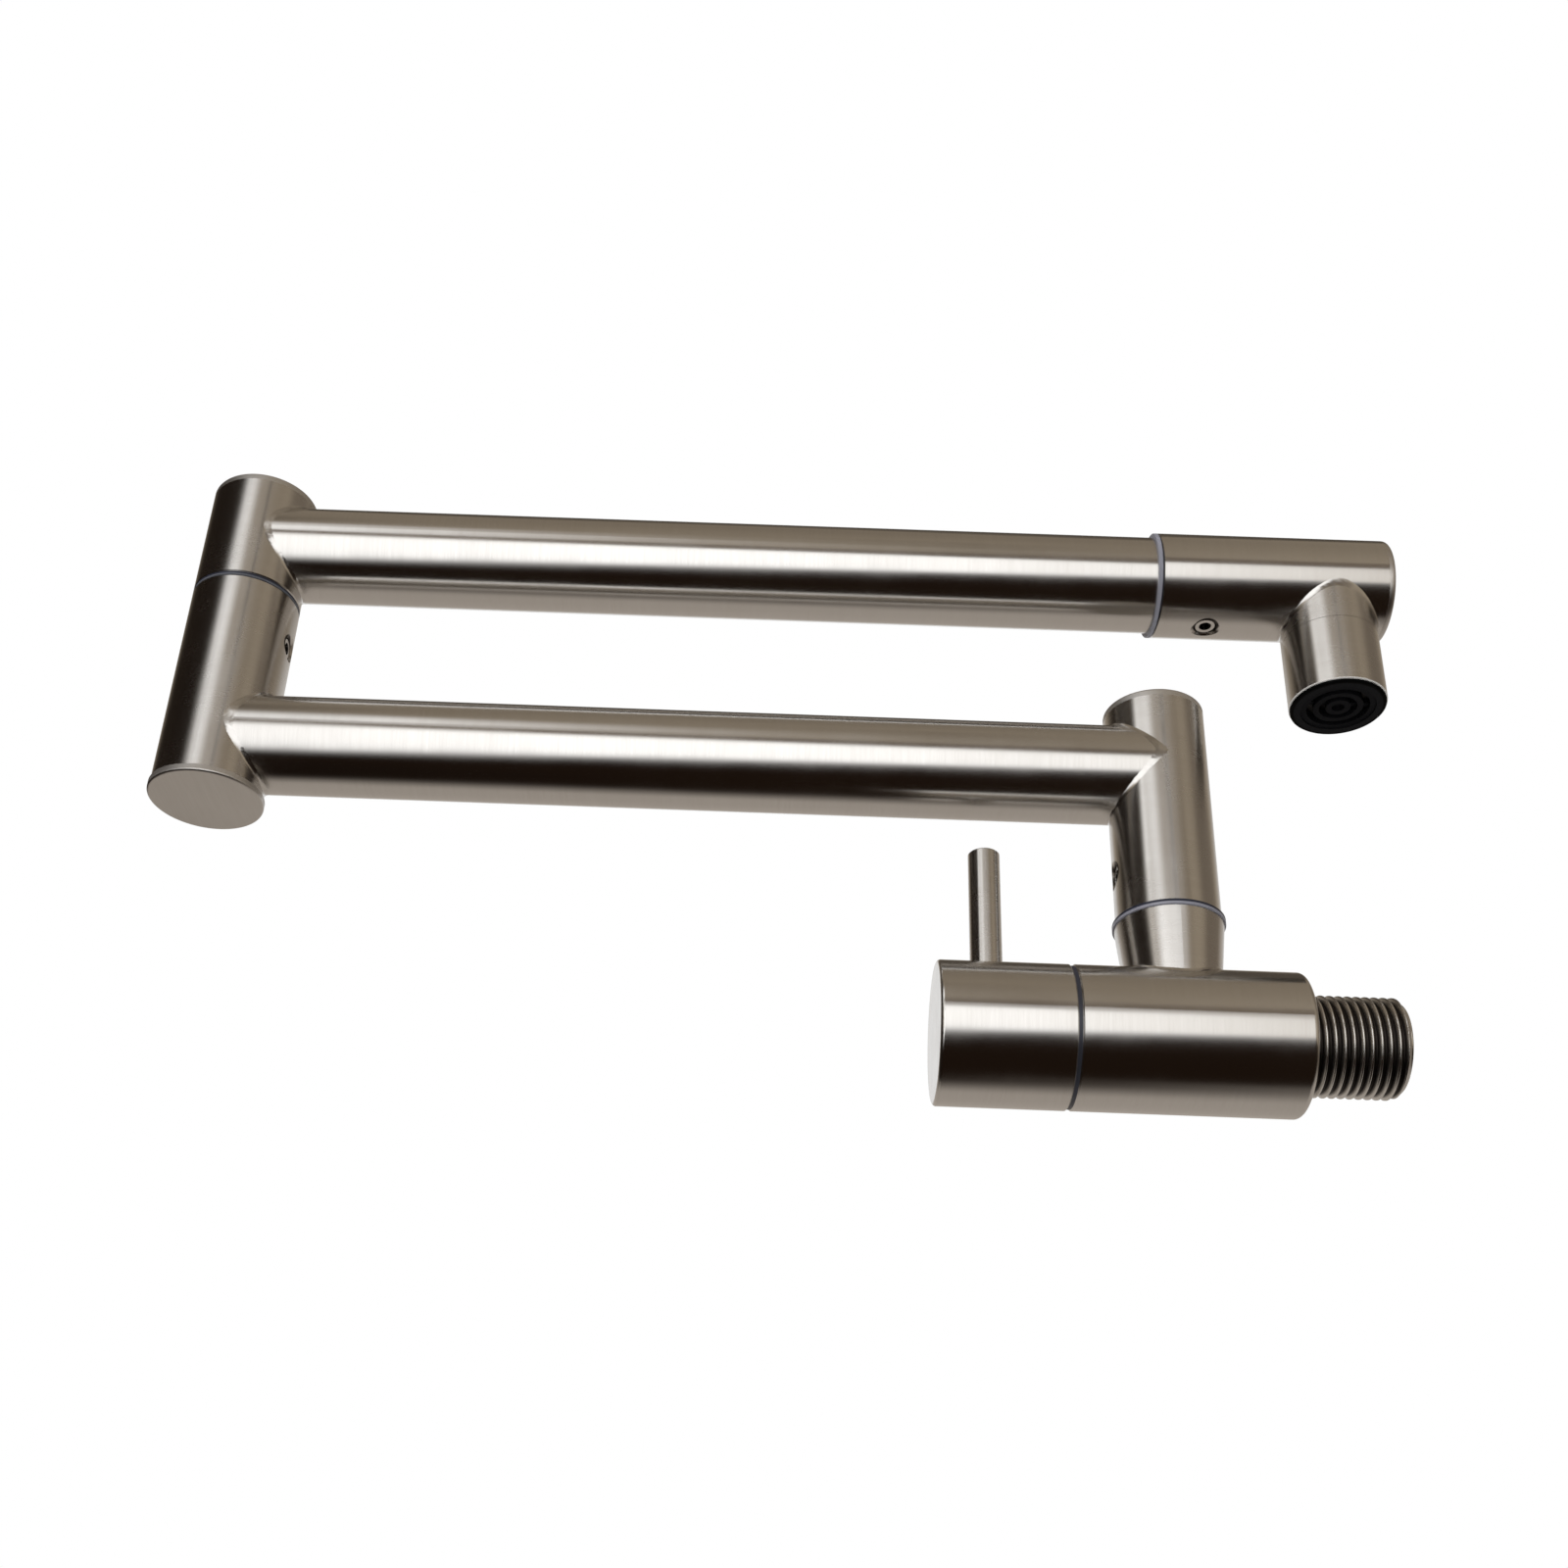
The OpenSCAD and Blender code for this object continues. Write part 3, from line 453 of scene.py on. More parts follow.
def brushing_group():
    group, source, result = new_group(
        "brushing",
        [("Squeeze", "NodeSocketVector", (1, 0.01, 1)), ("Depth", "NodeSocketFloat", 0.5)],
        [("Height", "NodeSocketFloat"), ("Shade", "NodeSocketFloat")],
    )
    coordinates = group.nodes.new("ShaderNodeTexCoord")
    stretched = vector_node(group, "MULTIPLY", coordinates.outputs["Object"], source.outputs["Squeeze"])
    hair = noise_node(group, stretched, HAIR_LINES, detail=2.0, roughness=0.6)
    streak = noise_node(group, stretched, STREAKS, detail=3.0, roughness=0.6)
    wide = noise_node(group, stretched, WIDE_BANDS, detail=2.0, roughness=0.5)
    fine = math_node(group, "ADD", math_node(group, "MULTIPLY", hair, HAIR_SHARE),
                     math_node(group, "MULTIPLY", streak, 1 - HAIR_SHARE))
    whole = math_node(group, "ADD", math_node(group, "MULTIPLY", fine, 1 - WIDE_SHARE),
                      math_node(group, "MULTIPLY", wide, WIDE_SHARE))
    height = math_node(group, "MULTIPLY", whole, source.outputs["Depth"])
    group.links.new(height, result.inputs["Height"])
    group.links.new(whole, result.inputs["Shade"])
    return group


BRUSHING = brushing_group()
print("group:", BRUSHING.name)


# %% [markdown]
# Hands and cloths leave soft, cloudy patches that are a little duller than the rest. They are
# much larger than the brushing and have no direction.

# %% Handling marks
def handling_group():
    group, source, result = new_group(
        "handling_marks",
        [("Size", "NodeSocketFloat", 60.0), ("Amount", "NodeSocketFloat", 0.5)],
        [("Dullness", "NodeSocketFloat")],
    )
    coordinates = group.nodes.new("ShaderNodeTexCoord")
    noise = group.nodes.new("ShaderNodeTexNoise")
    noise.inputs["Detail"].default_value = 4
    noise.inputs["Roughness"].default_value = 0.6
    group.links.new(coordinates.outputs["Object"], noise.inputs["Vector"])
    group.links.new(source.outputs["Size"], noise.inputs["Scale"])
    patches = map_range(group, noise.outputs["Fac"], 0.42, 0.72, 0.0, 1.0)
    group.links.new(math_node(group, "MULTIPLY", patches, source.outputs["Amount"]),
                    result.inputs["Dullness"])
    return group


HANDLING = handling_group()
print("group:", HANDLING.name)


# %% [markdown]
# A lathe leaves rings around the axis that it turns. They are noise over the distance from the
# axis and the place along it, so a Mapping node first moves the axis to the origin and turns
# it upright.

# %% Turning marks
def radius_and_height(group, vector):
    split = group.nodes.new("ShaderNodeSeparateXYZ")
    group.links.new(vector, split.inputs[0])
    squares = math_node(group, "ADD", math_node(group, "POWER", split.outputs[0], 2.0),
                        math_node(group, "POWER", split.outputs[1], 2.0))
    return math_node(group, "SQRT", squares), split.outputs[2]


def turning_group():
    group, source, result = new_group(
        "turning_marks",
        [("Vector", "NodeSocketVector", None), ("Fineness", "NodeSocketFloat", 2500.0)],
        [("Height", "NodeSocketFloat"), ("Shade", "NodeSocketFloat")],
    )
    radius, height = radius_and_height(group, source.outputs["Vector"])
    rings = group.nodes.new("ShaderNodeCombineXYZ")
    group.links.new(radius, rings.inputs[0])
    group.links.new(height, rings.inputs[1])
    noise = group.nodes.new("ShaderNodeTexNoise")
    noise.inputs["Detail"].default_value = 2
    group.links.new(rings.outputs[0], noise.inputs["Vector"])
    group.links.new(source.outputs["Fineness"], noise.inputs["Scale"])
    group.links.new(noise.outputs["Fac"], result.inputs["Height"])
    group.links.new(noise.outputs["Fac"], result.inputs["Shade"])
    return group


TURNING = turning_group()
print("group:", TURNING.name)


# %% [markdown]
# Some marks lie in a circle round an axis: painted shade in the roots of a thread, on the bevel
# round a screw and in the socket in its middle. One group measures the distance from the axis and
# fades from 1 at an inner radius to 0 at an outer one, on the side that the axis points to.

# %% Round marks
def round_mark_group():
    group, source, result = new_group(
        "round_mark",
        [("Vector", "NodeSocketVector", None), ("Inner", "NodeSocketFloat", 0.001),
         ("Outer", "NodeSocketFloat", 0.002)],
        [("Mask", "NodeSocketFloat")],
    )
    radius, height = radius_and_height(group, source.outputs["Vector"])
    near_axis = map_range(group, radius, source.outputs["Inner"], source.outputs["Outer"], 1.0, 0.0)
    ahead = math_node(group, "GREATER_THAN", height, 0.0)
    group.links.new(math_node(group, "MULTIPLY", near_axis, ahead), result.inputs["Mask"])
    return group


ROUND_MARK = round_mark_group()
print("group:", ROUND_MARK.name)


# %% [markdown]
# Every finish ends in one Principled shader. Numbers that don't vary over the surface, such as
# specular level, are set on its sockets. The others come from the groups above, and these
# helpers place a group in a material, give it its inputs and read a mark's mask from it.

# %% Finish helpers
POINTS_UP, POINTS_DOWN = (0, 0, 0), (radians(180), 0, 0)
POINTS_BACK, POINTS_FORWARD = (radians(-90), 0, 0), (radians(90), 0, 0)


def new_finish(name):
    material = bpy.data.materials.new(name)
    material.use_nodes = True
    tree = material.node_tree
    return material, tree, tree.nodes["Principled BSDF"]


def place_group(tree, group, **values):
    node = tree.nodes.new("ShaderNodeGroup")
    node.node_tree = group
    for label, value in values.items():
        socket = node.inputs[label]
        if isinstance(value, (int, float, tuple)):
            socket.default_value = value
        else:
            tree.links.new(value, socket)
    return node


def bump(tree, height, strength, distance, shader):
    node = tree.nodes.new("ShaderNodeBump")
    node.inputs["Strength"].default_value = strength
    node.inputs["Distance"].default_value = distance
    tree.links.new(height, node.inputs["Height"])
    tree.links.new(node.outputs[0], shader.inputs["Normal"])
    return node


def mapped_object_coordinates(tree, location=(0, 0, 0), rotation=(0, 0, 0)):
    coordinates = tree.nodes.new("ShaderNodeTexCoord")
    mapping = tree.nodes.new("ShaderNodeMapping")
    mapping.vector_type = "TEXTURE"
    mapping.inputs["Location"].default_value = location
    mapping.inputs["Rotation"].default_value = rotation
    tree.links.new(coordinates.outputs["Object"], mapping.inputs["Vector"])
    return mapping.outputs[0]


def round_mark(tree, place, direction, inner, outer):
    vector = mapped_object_coordinates(tree, place, direction)
    return place_group(tree, ROUND_MARK, Vector=vector, Inner=inner, Outer=outer).outputs["Mask"]


def level_line(tree, axis, level, width, darkness):
    """A fine line round a tube, at one place along its axis."""
    coordinates = tree.nodes.new("ShaderNodeTexCoord")
    split = tree.nodes.new("ShaderNodeSeparateXYZ")
    tree.links.new(coordinates.outputs["Object"], split.inputs[0])
    away = math_node(tree, "ABSOLUTE", math_node(tree, "SUBTRACT", split.outputs[axis], level))
    return map_range(tree, away, 0.0, width, darkness, 0.0)


print("finish helpers ready")


# %% [markdown]
# Brushed steel is two close tones of one grey, mixed by the brushing, and its roughness follows
# the same streaks. Where a part needs a mark, it goes on top: a circle of painted shade round a
# screw, a fine dark joint line round the tube, or a matt edge where the tube was cut. The marks
# are worked out from the place on the part, which stays sharp at any distance.

# %% Brushed steel
STEEL_DARK = (0.62, 0.60, 0.575)
STEEL_LIGHT = (0.67, 0.655, 0.635)
# A near-black for painted shade (on a screw's bevel, in a socket, in a thread's roots) and for the
# spout's dark joint line.
PAINTED_SHADE_AND_SEAM_DARK = (0.035, 0.030, 0.027)
Y_AXIS, Z_AXIS = 1, 2
ALONG_Y = (0.02, 1, 0.02)
ALONG_Z = (0.02, 0.02, 1)
ROUND_THE_TUBE = 0.03
MATT_EDGE_BLUR = 0.05 * MM


def lengthwise_tangent(tree, shader, axis):
    """Turns the shader's anisotropy to the tube's own axis, in whatever pose the tube stands."""
    along = tree.nodes.new("ShaderNodeCombineXYZ")
    for socket, value in zip(along.inputs, axis):
        socket.default_value = value
    turn = tree.nodes.new("ShaderNodeVectorTransform")
    turn.vector_type = "VECTOR"
    turn.convert_from = "OBJECT"
    turn.convert_to = "WORLD"
    tree.links.new(along.outputs[0], turn.inputs[0])
    tree.links.new(turn.outputs[0], shader.inputs["Tangent"])


def brushed_steel(name, axis, roughness=0.21, anisotropy=0.75, bump_strength=0.008,
                  painted_shade_circle=None, dark_line=None, matt_below=None):
    material, tree, shader = new_finish(name)
    squeeze = tuple(1 if share > 0.5 else ROUND_THE_TUBE for share in axis)
    brushing = place_group(tree, BRUSHING, Squeeze=squeeze, Depth=0.5)
    marks = place_group(tree, HANDLING, Size=55.0, Amount=0.05)
    shader.inputs["Metallic"].default_value = 1
    shader.inputs["Anisotropic"].default_value = anisotropy
    lengthwise_tangent(tree, shader, axis)
    colour = mix_colour(tree, map_range(tree, brushing.outputs["Shade"], 0.3, 0.7, 0.0, 1.0),
                        STEEL_DARK, STEEL_LIGHT)
    base = map_range(tree, brushing.outputs["Shade"], 0.3, 0.7, roughness + 0.01, roughness - 0.01)
    dull = math_node(tree, "ADD", base, marks.outputs["Dullness"])
    # Painted shade: a dark circle over one side of a screw's bevel.
    if painted_shade_circle:
        colour = mix_colour(tree, round_mark(tree, *painted_shade_circle), colour, PAINTED_SHADE_AND_SEAM_DARK)
    if dark_line:
        colour = mix_colour(tree, level_line(tree, *dark_line), colour, PAINTED_SHADE_AND_SEAM_DARK)
    if matt_below:
        split = tree.nodes.new("ShaderNodeSeparateXYZ")
        tree.links.new(mapped_object_coordinates(tree), split.inputs[0])
        shine = map_range(tree, split.outputs[Z_AXIS], matt_below, matt_below + MATT_EDGE_BLUR,
                          0.2, 1.0)
        tree.links.new(shine, shader.inputs["Metallic"])
    tree.links.new(colour, shader.inputs["Base Color"])
    tree.links.new(dull, shader.inputs["Roughness"])
    bump(tree, brushing.outputs["Height"], bump_strength, 0.01 * MM, shader)
    return material


print("brushed steel ready, tones", STEEL_DARK, STEEL_LIGHT)


# %% [markdown]
# Turned metal mixes its two tones by the rings that the lathe left. A thread is turned too, but
# from a step away it shows dark roots and bright crests, so its roots get painted shade and its
# colour follows the distance from the axis.

# %% Turned metal and threads
RING_FINENESS = 2500.0


def turned_metal(name, dark, light, location, rotation, roughness=0.2):
    material, tree, shader = new_finish(name)
    vector = mapped_object_coordinates(tree, location, rotation)
    rings = place_group(tree, TURNING, Vector=vector, Fineness=RING_FINENESS)
    marks = place_group(tree, HANDLING, Size=300.0, Amount=0.06)
    shade = rings.outputs["Shade"]
    colour = mix_colour(tree, map_range(tree, shade, 0.35, 0.65, 0.0, 1.0), dark, light)
    base = map_range(tree, shade, 0.3, 0.7, roughness - 0.03, roughness + 0.04)
    shader.inputs["Metallic"].default_value = 1
    tree.links.new(colour, shader.inputs["Base Color"])
    tree.links.new(math_node(tree, "ADD", marks.outputs["Dullness"], base), shader.inputs["Roughness"])
    bump(tree, rings.outputs["Height"], 0.4, 0.02 * MM, shader)
    return material


def threaded_steel(name, place, direction, root_radius, crest_radius):
    """Crests in the plain steel colour, and painted shade in the roots."""
    material, tree, shader = new_finish(name)
    # Painted shade: the thread's roots are darkened by their distance from the axis.
    painted_root_shade = round_mark(tree, place, direction, root_radius, crest_radius)
    marks = place_group(tree, HANDLING, Size=300.0, Amount=0.08)
    shader.inputs["Metallic"].default_value = 1
    tree.links.new(mix_colour(tree, painted_root_shade, STEEL_LIGHT, PAINTED_SHADE_AND_SEAM_DARK), shader.inputs["Base Color"])
    base = map_range(tree, painted_root_shade, 0.0, 1.0, 0.2, 0.45)
    tree.links.new(math_node(tree, "ADD", marks.outputs["Dullness"], base), shader.inputs["Roughness"])
    bump(tree, marks.outputs["Dullness"], 0.1, 0.02 * MM, shader)
    return material


print("turned metal and threads ready")


# %% [markdown]
# Two small finishes of steel are left. A set screw shows only its outer end, where the hexagon
# socket looks black because no light gets into it. A weld that was ground and polished by hand
# is smoother than the brushed tubes, and wavy.

# %% Screw ends and welds
SOCKET_RADIUS = 1.3 * MM
SOCKET_BLUR = 0.15 * MM
WELD_DARK = (0.50, 0.48, 0.46)
WELD_LIGHT = (0.70, 0.685, 0.66)
WELD_WAVES = 420


def socket_steel(name, place, direction):
    """Outer end of a set screw: a bright ring round a hexagon socket painted black as shade."""
    material, tree, shader = new_finish(name)
    # Painted shadow: the hexagon socket is darkened by its distance from the screw's axis.
    painted_socket_shadow = round_mark(tree, place, direction, SOCKET_RADIUS, SOCKET_RADIUS + SOCKET_BLUR)
    marks = place_group(tree, HANDLING, Size=900.0, Amount=0.1)
    shader.inputs["Metallic"].default_value = 1
    tree.links.new(mix_colour(tree, painted_socket_shadow, STEEL_LIGHT, PAINTED_SHADE_AND_SEAM_DARK), shader.inputs["Base Color"])
    base = map_range(tree, painted_socket_shadow, 0.0, 1.0, 0.25, 0.6)
    tree.links.new(math_node(tree, "ADD", marks.outputs["Dullness"], base), shader.inputs["Roughness"])
    bump(tree, marks.outputs["Dullness"], 0.2, 0.05 * MM, shader)
    return material


def polished_weld(name):
    material, tree, shader = new_finish(name)
    vector = mapped_object_coordinates(tree)
    waves = noise_node(tree, vector, WELD_WAVES, detail=2.0)
    shader.inputs["Metallic"].default_value = 1
    tree.links.new(mix_colour(tree, waves, WELD_DARK, WELD_LIGHT), shader.inputs["Base Color"])
    tree.links.new(map_range(tree, waves, 0.3, 0.7, 0.16, 0.25), shader.inputs["Roughness"])
    bump(tree, waves, 0.35, 0.3 * MM, shader)
    return material


print("screw ends and welds ready")


# %% [markdown]
# Plastic, rubber and ceramic get their skin from a mould: a fine grain, and soft clouds where the
# colour isn't quite even. A washer can have painted shade on one side, and the aerator's lip is
# painted paler inside a ring, which leaves painted shade round its rim. Very dark plastic gets a
# low refraction, so that it stays dark seen at a slant.

# %% Moulded pieces
MOULD_GRAIN, MOULD_CLOUDS = 2600.0, 160
# Navy for the painted shade on one side of a washer.
PAINTED_SHADE_NAVY = (0.016, 0.018, 0.030)
# Blur of the ring inside which the aerator's lip is painted paler.
RIM_SHADE_BLUR = 0.2 * MM


def moulded(name, dark, light, roughness, specular=0.5, painted_shade_edge=None, painted_rim_shade=None,
            refraction=1.5):
    material, tree, shader = new_finish(name)
    shader.inputs["IOR"].default_value = refraction
    vector = mapped_object_coordinates(tree)
    grains = noise_node(tree, vector, MOULD_GRAIN, detail=3.0)
    clouds = noise_node(tree, vector, MOULD_CLOUDS, detail=2.0)
    shader.inputs["Specular IOR Level"].default_value = specular
    colour = mix_colour(tree, clouds, dark, light)
    # Painted shade: past a level along the washer's axis, its colour turns navy.
    if painted_shade_edge:
        axis, unshaded_side, shaded_side = painted_shade_edge
        split = tree.nodes.new("ShaderNodeSeparateXYZ")
        tree.links.new(vector, split.inputs[0])
        in_painted_shade = map_range(tree, split.outputs[axis], unshaded_side, shaded_side, 0.0, 1.0)
        colour = mix_colour(tree, in_painted_shade, colour, PAINTED_SHADE_NAVY)
    # Painted shade: the lip is paler inside a ring, which leaves its rim darker.
    if painted_rim_shade:
        place, direction, radius, shade = painted_rim_shade
        inside = round_mark(tree, place, direction, radius, radius + RIM_SHADE_BLUR)
        colour = mix_colour(tree, inside, colour, shade)
    tree.links.new(colour, shader.inputs["Base Color"])
    tree.links.new(map_range(tree, grains, 0.3, 0.7, roughness - 0.06, roughness + 0.06),
                   shader.inputs["Roughness"])
    bump(tree, grains, 0.25, 0.03 * MM, shader)
    return material


print("moulded finishes ready")


# %% [markdown]
# Each fixed part gets its finish here, the visible tubes first. The tubes that lie along Y had
# a finer belt than the upright ones, whose reflections are more drawn out. A sleeve has a hole
# with a bevel for its set screw, and painted shade makes the bevel dark on one side. The painted
# shade is a circle that is a little off the screw's axis, so that it covers the bevel on that
# side only. A faint line round the spout shows where its two lengths are joined, and its cut
# edge is matt, so it is less metallic.

# %% Finish the brushed parts
SHADE_RADIUS = 2.95 * MM
SHADE_SHIFT = 0.5 * MM
SHADE_BLUR = 0.12 * MM
SPOUT_SEAM_Z = 101.8 * MM
SPOUT_SEAM_WIDTH = 0.15 * MM
SPOUT_SEAM_DARKNESS = 0.5
CUT_EDGE_HEIGHT = 0.25 * MM


def finish(nodes, material):
    for node in nodes:
        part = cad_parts[node]
        part.data.materials.clear()
        part.data.materials.append(material)


COARSE_BELT = dict(axis=ALONG_Z, roughness=0.25, anisotropy=0.8, bump_strength=0.002)
FINE_BELT = dict(axis=ALONG_Y)
SCREWS = {
    "riser": ((0, riser_y, middle("riser_set_screw").z), POINTS_FORWARD, COARSE_BELT),
    "elbow": ((0, elbow_y, middle("elbow_set_screw").z), POINTS_BACK, COARSE_BELT),
    "head": ((0, middle("head_set_screw").y, upper_arm_z), POINTS_DOWN, FINE_BELT),
}
for where, (place, direction, belt) in SCREWS.items():
    finish([where + "_set_screw"], socket_steel(where + "_screw_steel", place, direction))
    # The sleeve gets a circle of painted shade over one side of its screw's bevel.
    shade_centre = (place[0] + SHADE_SHIFT, place[1], place[2])
    shade = (shade_centre, direction, SHADE_RADIUS - SHADE_BLUR, SHADE_RADIUS + SHADE_BLUR)
    finish([where + "_sleeve"], brushed_steel(where + "_sleeve_steel", painted_shade_circle=shade, **belt))

steel_along_y = brushed_steel("steel_brushed_along_y", **FINE_BELT)
steel_along_z = brushed_steel("steel_brushed_along_z", **COARSE_BELT)
steel_disc = brushed_steel("steel_disc", ALONG_Y, roughness=0.42)
finish(["valve_body", "handle", "lower_arm", "upper_arm"], steel_along_y)
finish(["riser_spigot", "elbow_post", "lever"], steel_along_z)
finish(["riser_cap", "elbow_top_cap", "elbow_bottom_cap", "head_end_cap"], steel_disc)
spout_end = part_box("spout")[0].z
spout_seam = (Z_AXIS, SPOUT_SEAM_Z, SPOUT_SEAM_WIDTH, SPOUT_SEAM_DARKNESS)
finish(["spout"], brushed_steel("spout_steel", dark_line=spout_seam,
                                matt_below=spout_end + CUT_EDGE_HEIGHT, **COARSE_BELT))
print("brushed steel: tubes, discs and", len(SCREWS), "sleeves with a screw")


# %% [markdown]
# The pieces that a lathe made have rings. Most of them are inside, where nobody sees them, but
# they have their own finish too, because someone may take the faucet apart.

# %% Finish the turned parts
STEEL_INNER_DARK, STEEL_INNER_LIGHT = (0.48, 0.47, 0.45), (0.62, 0.61, 0.59)
# Painted shade fills the thread's roots below the first depth under the crest and fades out by the
# second; the last bit of the free end gets none.
THREAD_UNSHADED_END = 0.5 * MM
THREAD_SHADE_DEPTH = 1.0 * MM
THREAD_UNSHADED_DEPTH = 0.4 * MM
finish(["spindle_clip", "head_spigot"],
       turned_metal("steel_turned_lying", STEEL_INNER_DARK, STEEL_INNER_LIGHT, (0, 0, 0), POINTS_BACK))
finish(["elbow_spigot"],
       turned_metal("steel_turned_upright", STEEL_INNER_DARK, STEEL_INNER_LIGHT, (0, elbow_y, 0),
                    POINTS_UP))
finish(["aerator_screens"],
       turned_metal("screen_wire", (0.03, 0.03, 0.03), (0.06, 0.06, 0.06), (0, spout_y, 0), POINTS_UP,
                    roughness=0.5))
finish(["cartridge_housing", "spindle"],
       turned_metal("turned_brass", (0.70, 0.53, 0.26), (0.83, 0.67, 0.36), (0, 0, 0), POINTS_BACK))
thread_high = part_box("inlet_nipple")[1]
steel_thread = threaded_steel("threaded_steel", (0, thread_high.y - THREAD_UNSHADED_END, 0),
                              POINTS_FORWARD, thread_high.x - THREAD_SHADE_DEPTH,
                              thread_high.x - THREAD_UNSHADED_DEPTH)
finish(["inlet_nipple"], steel_thread)
print("turned steel and brass, and a thread of radius", round(thread_high.x / MM, 2), "mm")


# %% [markdown]
# Washers, seals and the aerator are moulded. A washer is squeezed between two tubes, and
# painted shade makes it dark along its edge on one side, so its colour follows the place along
# its axis.

# %% Finish the moulded parts
LAVENDER_GREY = ((0.19, 0.19, 0.225), (0.23, 0.23, 0.265))
SLATE_GREY = ((0.075, 0.078, 0.092), (0.10, 0.104, 0.12))
WASHER_EDGE_BLUR = 0.08 * MM
LIP_RING_RADIUS = 9.6 * MM
WASHERS = {"riser_washer": (Z_AXIS, LAVENDER_GREY, 0.5), "elbow_washer": (Z_AXIS, SLATE_GREY, 0.4),
           "head_washer": (Y_AXIS, LAVENDER_GREY, 0.8)}
# Past its unshaded share along its axis, each washer gets painted shade.
for node, (axis, shades, unshaded_share) in WASHERS.items():
    low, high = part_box(node)
    edge = low[axis] + unshaded_share * (high[axis] - low[axis])
    painted_shade_edge = (axis, edge - WASHER_EDGE_BLUR, edge + WASHER_EDGE_BLUR)
    finish([node], moulded(node + "_plastic", *shades, 0.4, specular=0.3, painted_shade_edge=painted_shade_edge))

finish(["fixed_disc", "moving_disc"],
       moulded("disc_ceramic", (0.90, 0.88, 0.84), (0.95, 0.94, 0.91), 0.16))
finish(["cartridge_o_ring", "cartridge_seal", "riser_o_rings", "spindle_o_rings", "elbow_o_rings",
        "head_o_rings", "aerator_seal"],
       moulded("seal_rubber", (0.012, 0.012, 0.012), (0.03, 0.03, 0.03), 0.45))
finish(["slip_ring"], moulded("slip_ring_plastic", (0.014, 0.015, 0.024), (0.022, 0.024, 0.036), 0.4))
# The aerator's lip is painted paler inside a ring, so that its rim shows painted shade.
finish(["aerator_housing"],
       moulded("black_lip_plastic", (0.001, 0.001, 0.001), (0.002, 0.002, 0.002), 0.6, refraction=1.1,
               painted_rim_shade=((0, spout_y, 0), POINTS_UP, LIP_RING_RADIUS, (0.008, 0.008, 0.009))))
finish(["aerator_face"],
       moulded("black_face_plastic", (0.004, 0.004, 0.005), (0.008, 0.008, 0.009), 0.6, refraction=1.1))
finish(["handle_hub"], moulded("hub_plastic", (0.80, 0.80, 0.78), (0.88, 0.88, 0.86), 0.5))
print("finished parts:", len(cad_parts))


# %% [markdown]
# Where one tube is welded onto another, the weld is ground and polished into a small hollow
# fillet. Its section is a lens: the upper skin is the fillet and the lower one hides in the
# metal. The lens is spun into a ring, and then each of its points moves onto the seam, which is
# the curve where the two tubes meet. On the seam, a point's place round the branch is its
# angle, and its place across the lens says how far it is from the branch (0) to the main tube
# (1). The fillet runs as a Bezier curve through a point on each tube, with the seam's own
# corner as the point that pulls it. A little waviness keeps it from looking machined. The
# collar tapers, so its radius depends on how high the seam is there, and the seam's height on
# that radius. A few rounds of working out one from the other settle both.

# %% The lens and the seam
SEAM_STEPS = 144
LENS_STEPS = 20
LENS_RING_RADIUS = 10
SEAM_WAVINESS = 0.16
LENS_DEPTH = 0.5 * MM
LENS_EDGE_SINK = 0.03 * MM
LENS_LIFT = 0.05 * MM
SEAM_ROUNDS = 6


def spun_lens():
    bm = bmesh.new()
    stand_up = Matrix.Translation((LENS_RING_RADIUS, 0, 0)) @ Matrix.Rotation(radians(90), 4, "X")
    bmesh.ops.create_circle(bm, segments=LENS_STEPS, radius=1, matrix=stand_up)
    bmesh.ops.spin(bm, geom=bm.verts[:] + bm.edges[:], axis=(0, 0, 1), cent=(0, 0, 0),
                   angle=radians(360), steps=SEAM_STEPS, use_merge=True)
    return bm


def seam_point(angle, across, seam):
    """Place on the fillet's skin, and the outward direction there, seen from the crossing axes."""
    branch, main = Vector(seam["branch"]), Vector(seam["main"])
    side = branch.cross(main)
    out = cos(angle) * side + sin(angle) * main
    main_r = seam["main_radius"]
    wave = 1 + SEAM_WAVINESS * sin(5 * angle + 1) * sin(2 * angle + seam["wave_start"])
    branch_reach = seam["branch_width"] * wave
    main_reach = seam["main_width"] * wave

    def branch_radius(height):
        return seam["branch_radius"] + seam.get("taper", 0) * (height - main_r)

    height = main_r
    for _ in range(SEAM_ROUNDS):
        height = sqrt(max(0, main_r ** 2 - (branch_radius(height) * cos(angle)) ** 2))
    corner_r = branch_radius(height)
    corner = corner_r * out + height * branch
    high = sqrt((main_r + branch_reach) ** 2 - (corner_r * cos(angle)) ** 2)
    on_branch = (branch_radius(high) - LENS_EDGE_SINK) * out + high * branch

    turned = atan2(corner_r * cos(angle), height)
    unrolled = Vector((main_r * turned, corner_r * sin(angle)))
    unrolled *= 1 + main_reach / unrolled.length
    turned = unrolled.x / main_r
    round_main = sin(turned) * side + cos(turned) * branch
    on_main = (main_r - LENS_EDGE_SINK) * round_main + unrolled.y * main

    skin = (1 - across) ** 2 * on_branch + 2 * across * (1 - across) * corner + across ** 2 * on_main
    outward = (out + round_main).normalized()
    return skin + outward * LENS_LIFT * 4 * across * (1 - across), outward


print("lens of", LENS_STEPS, "points, spun in", SEAM_STEPS, "steps")


# %% [markdown]
# The five seams differ only in their sizes and directions, so one function makes all of them.
# The branch is the tube that ends on the other one. Each fillet rides on the body that both
# of its tubes belong to, so that it turns with them.

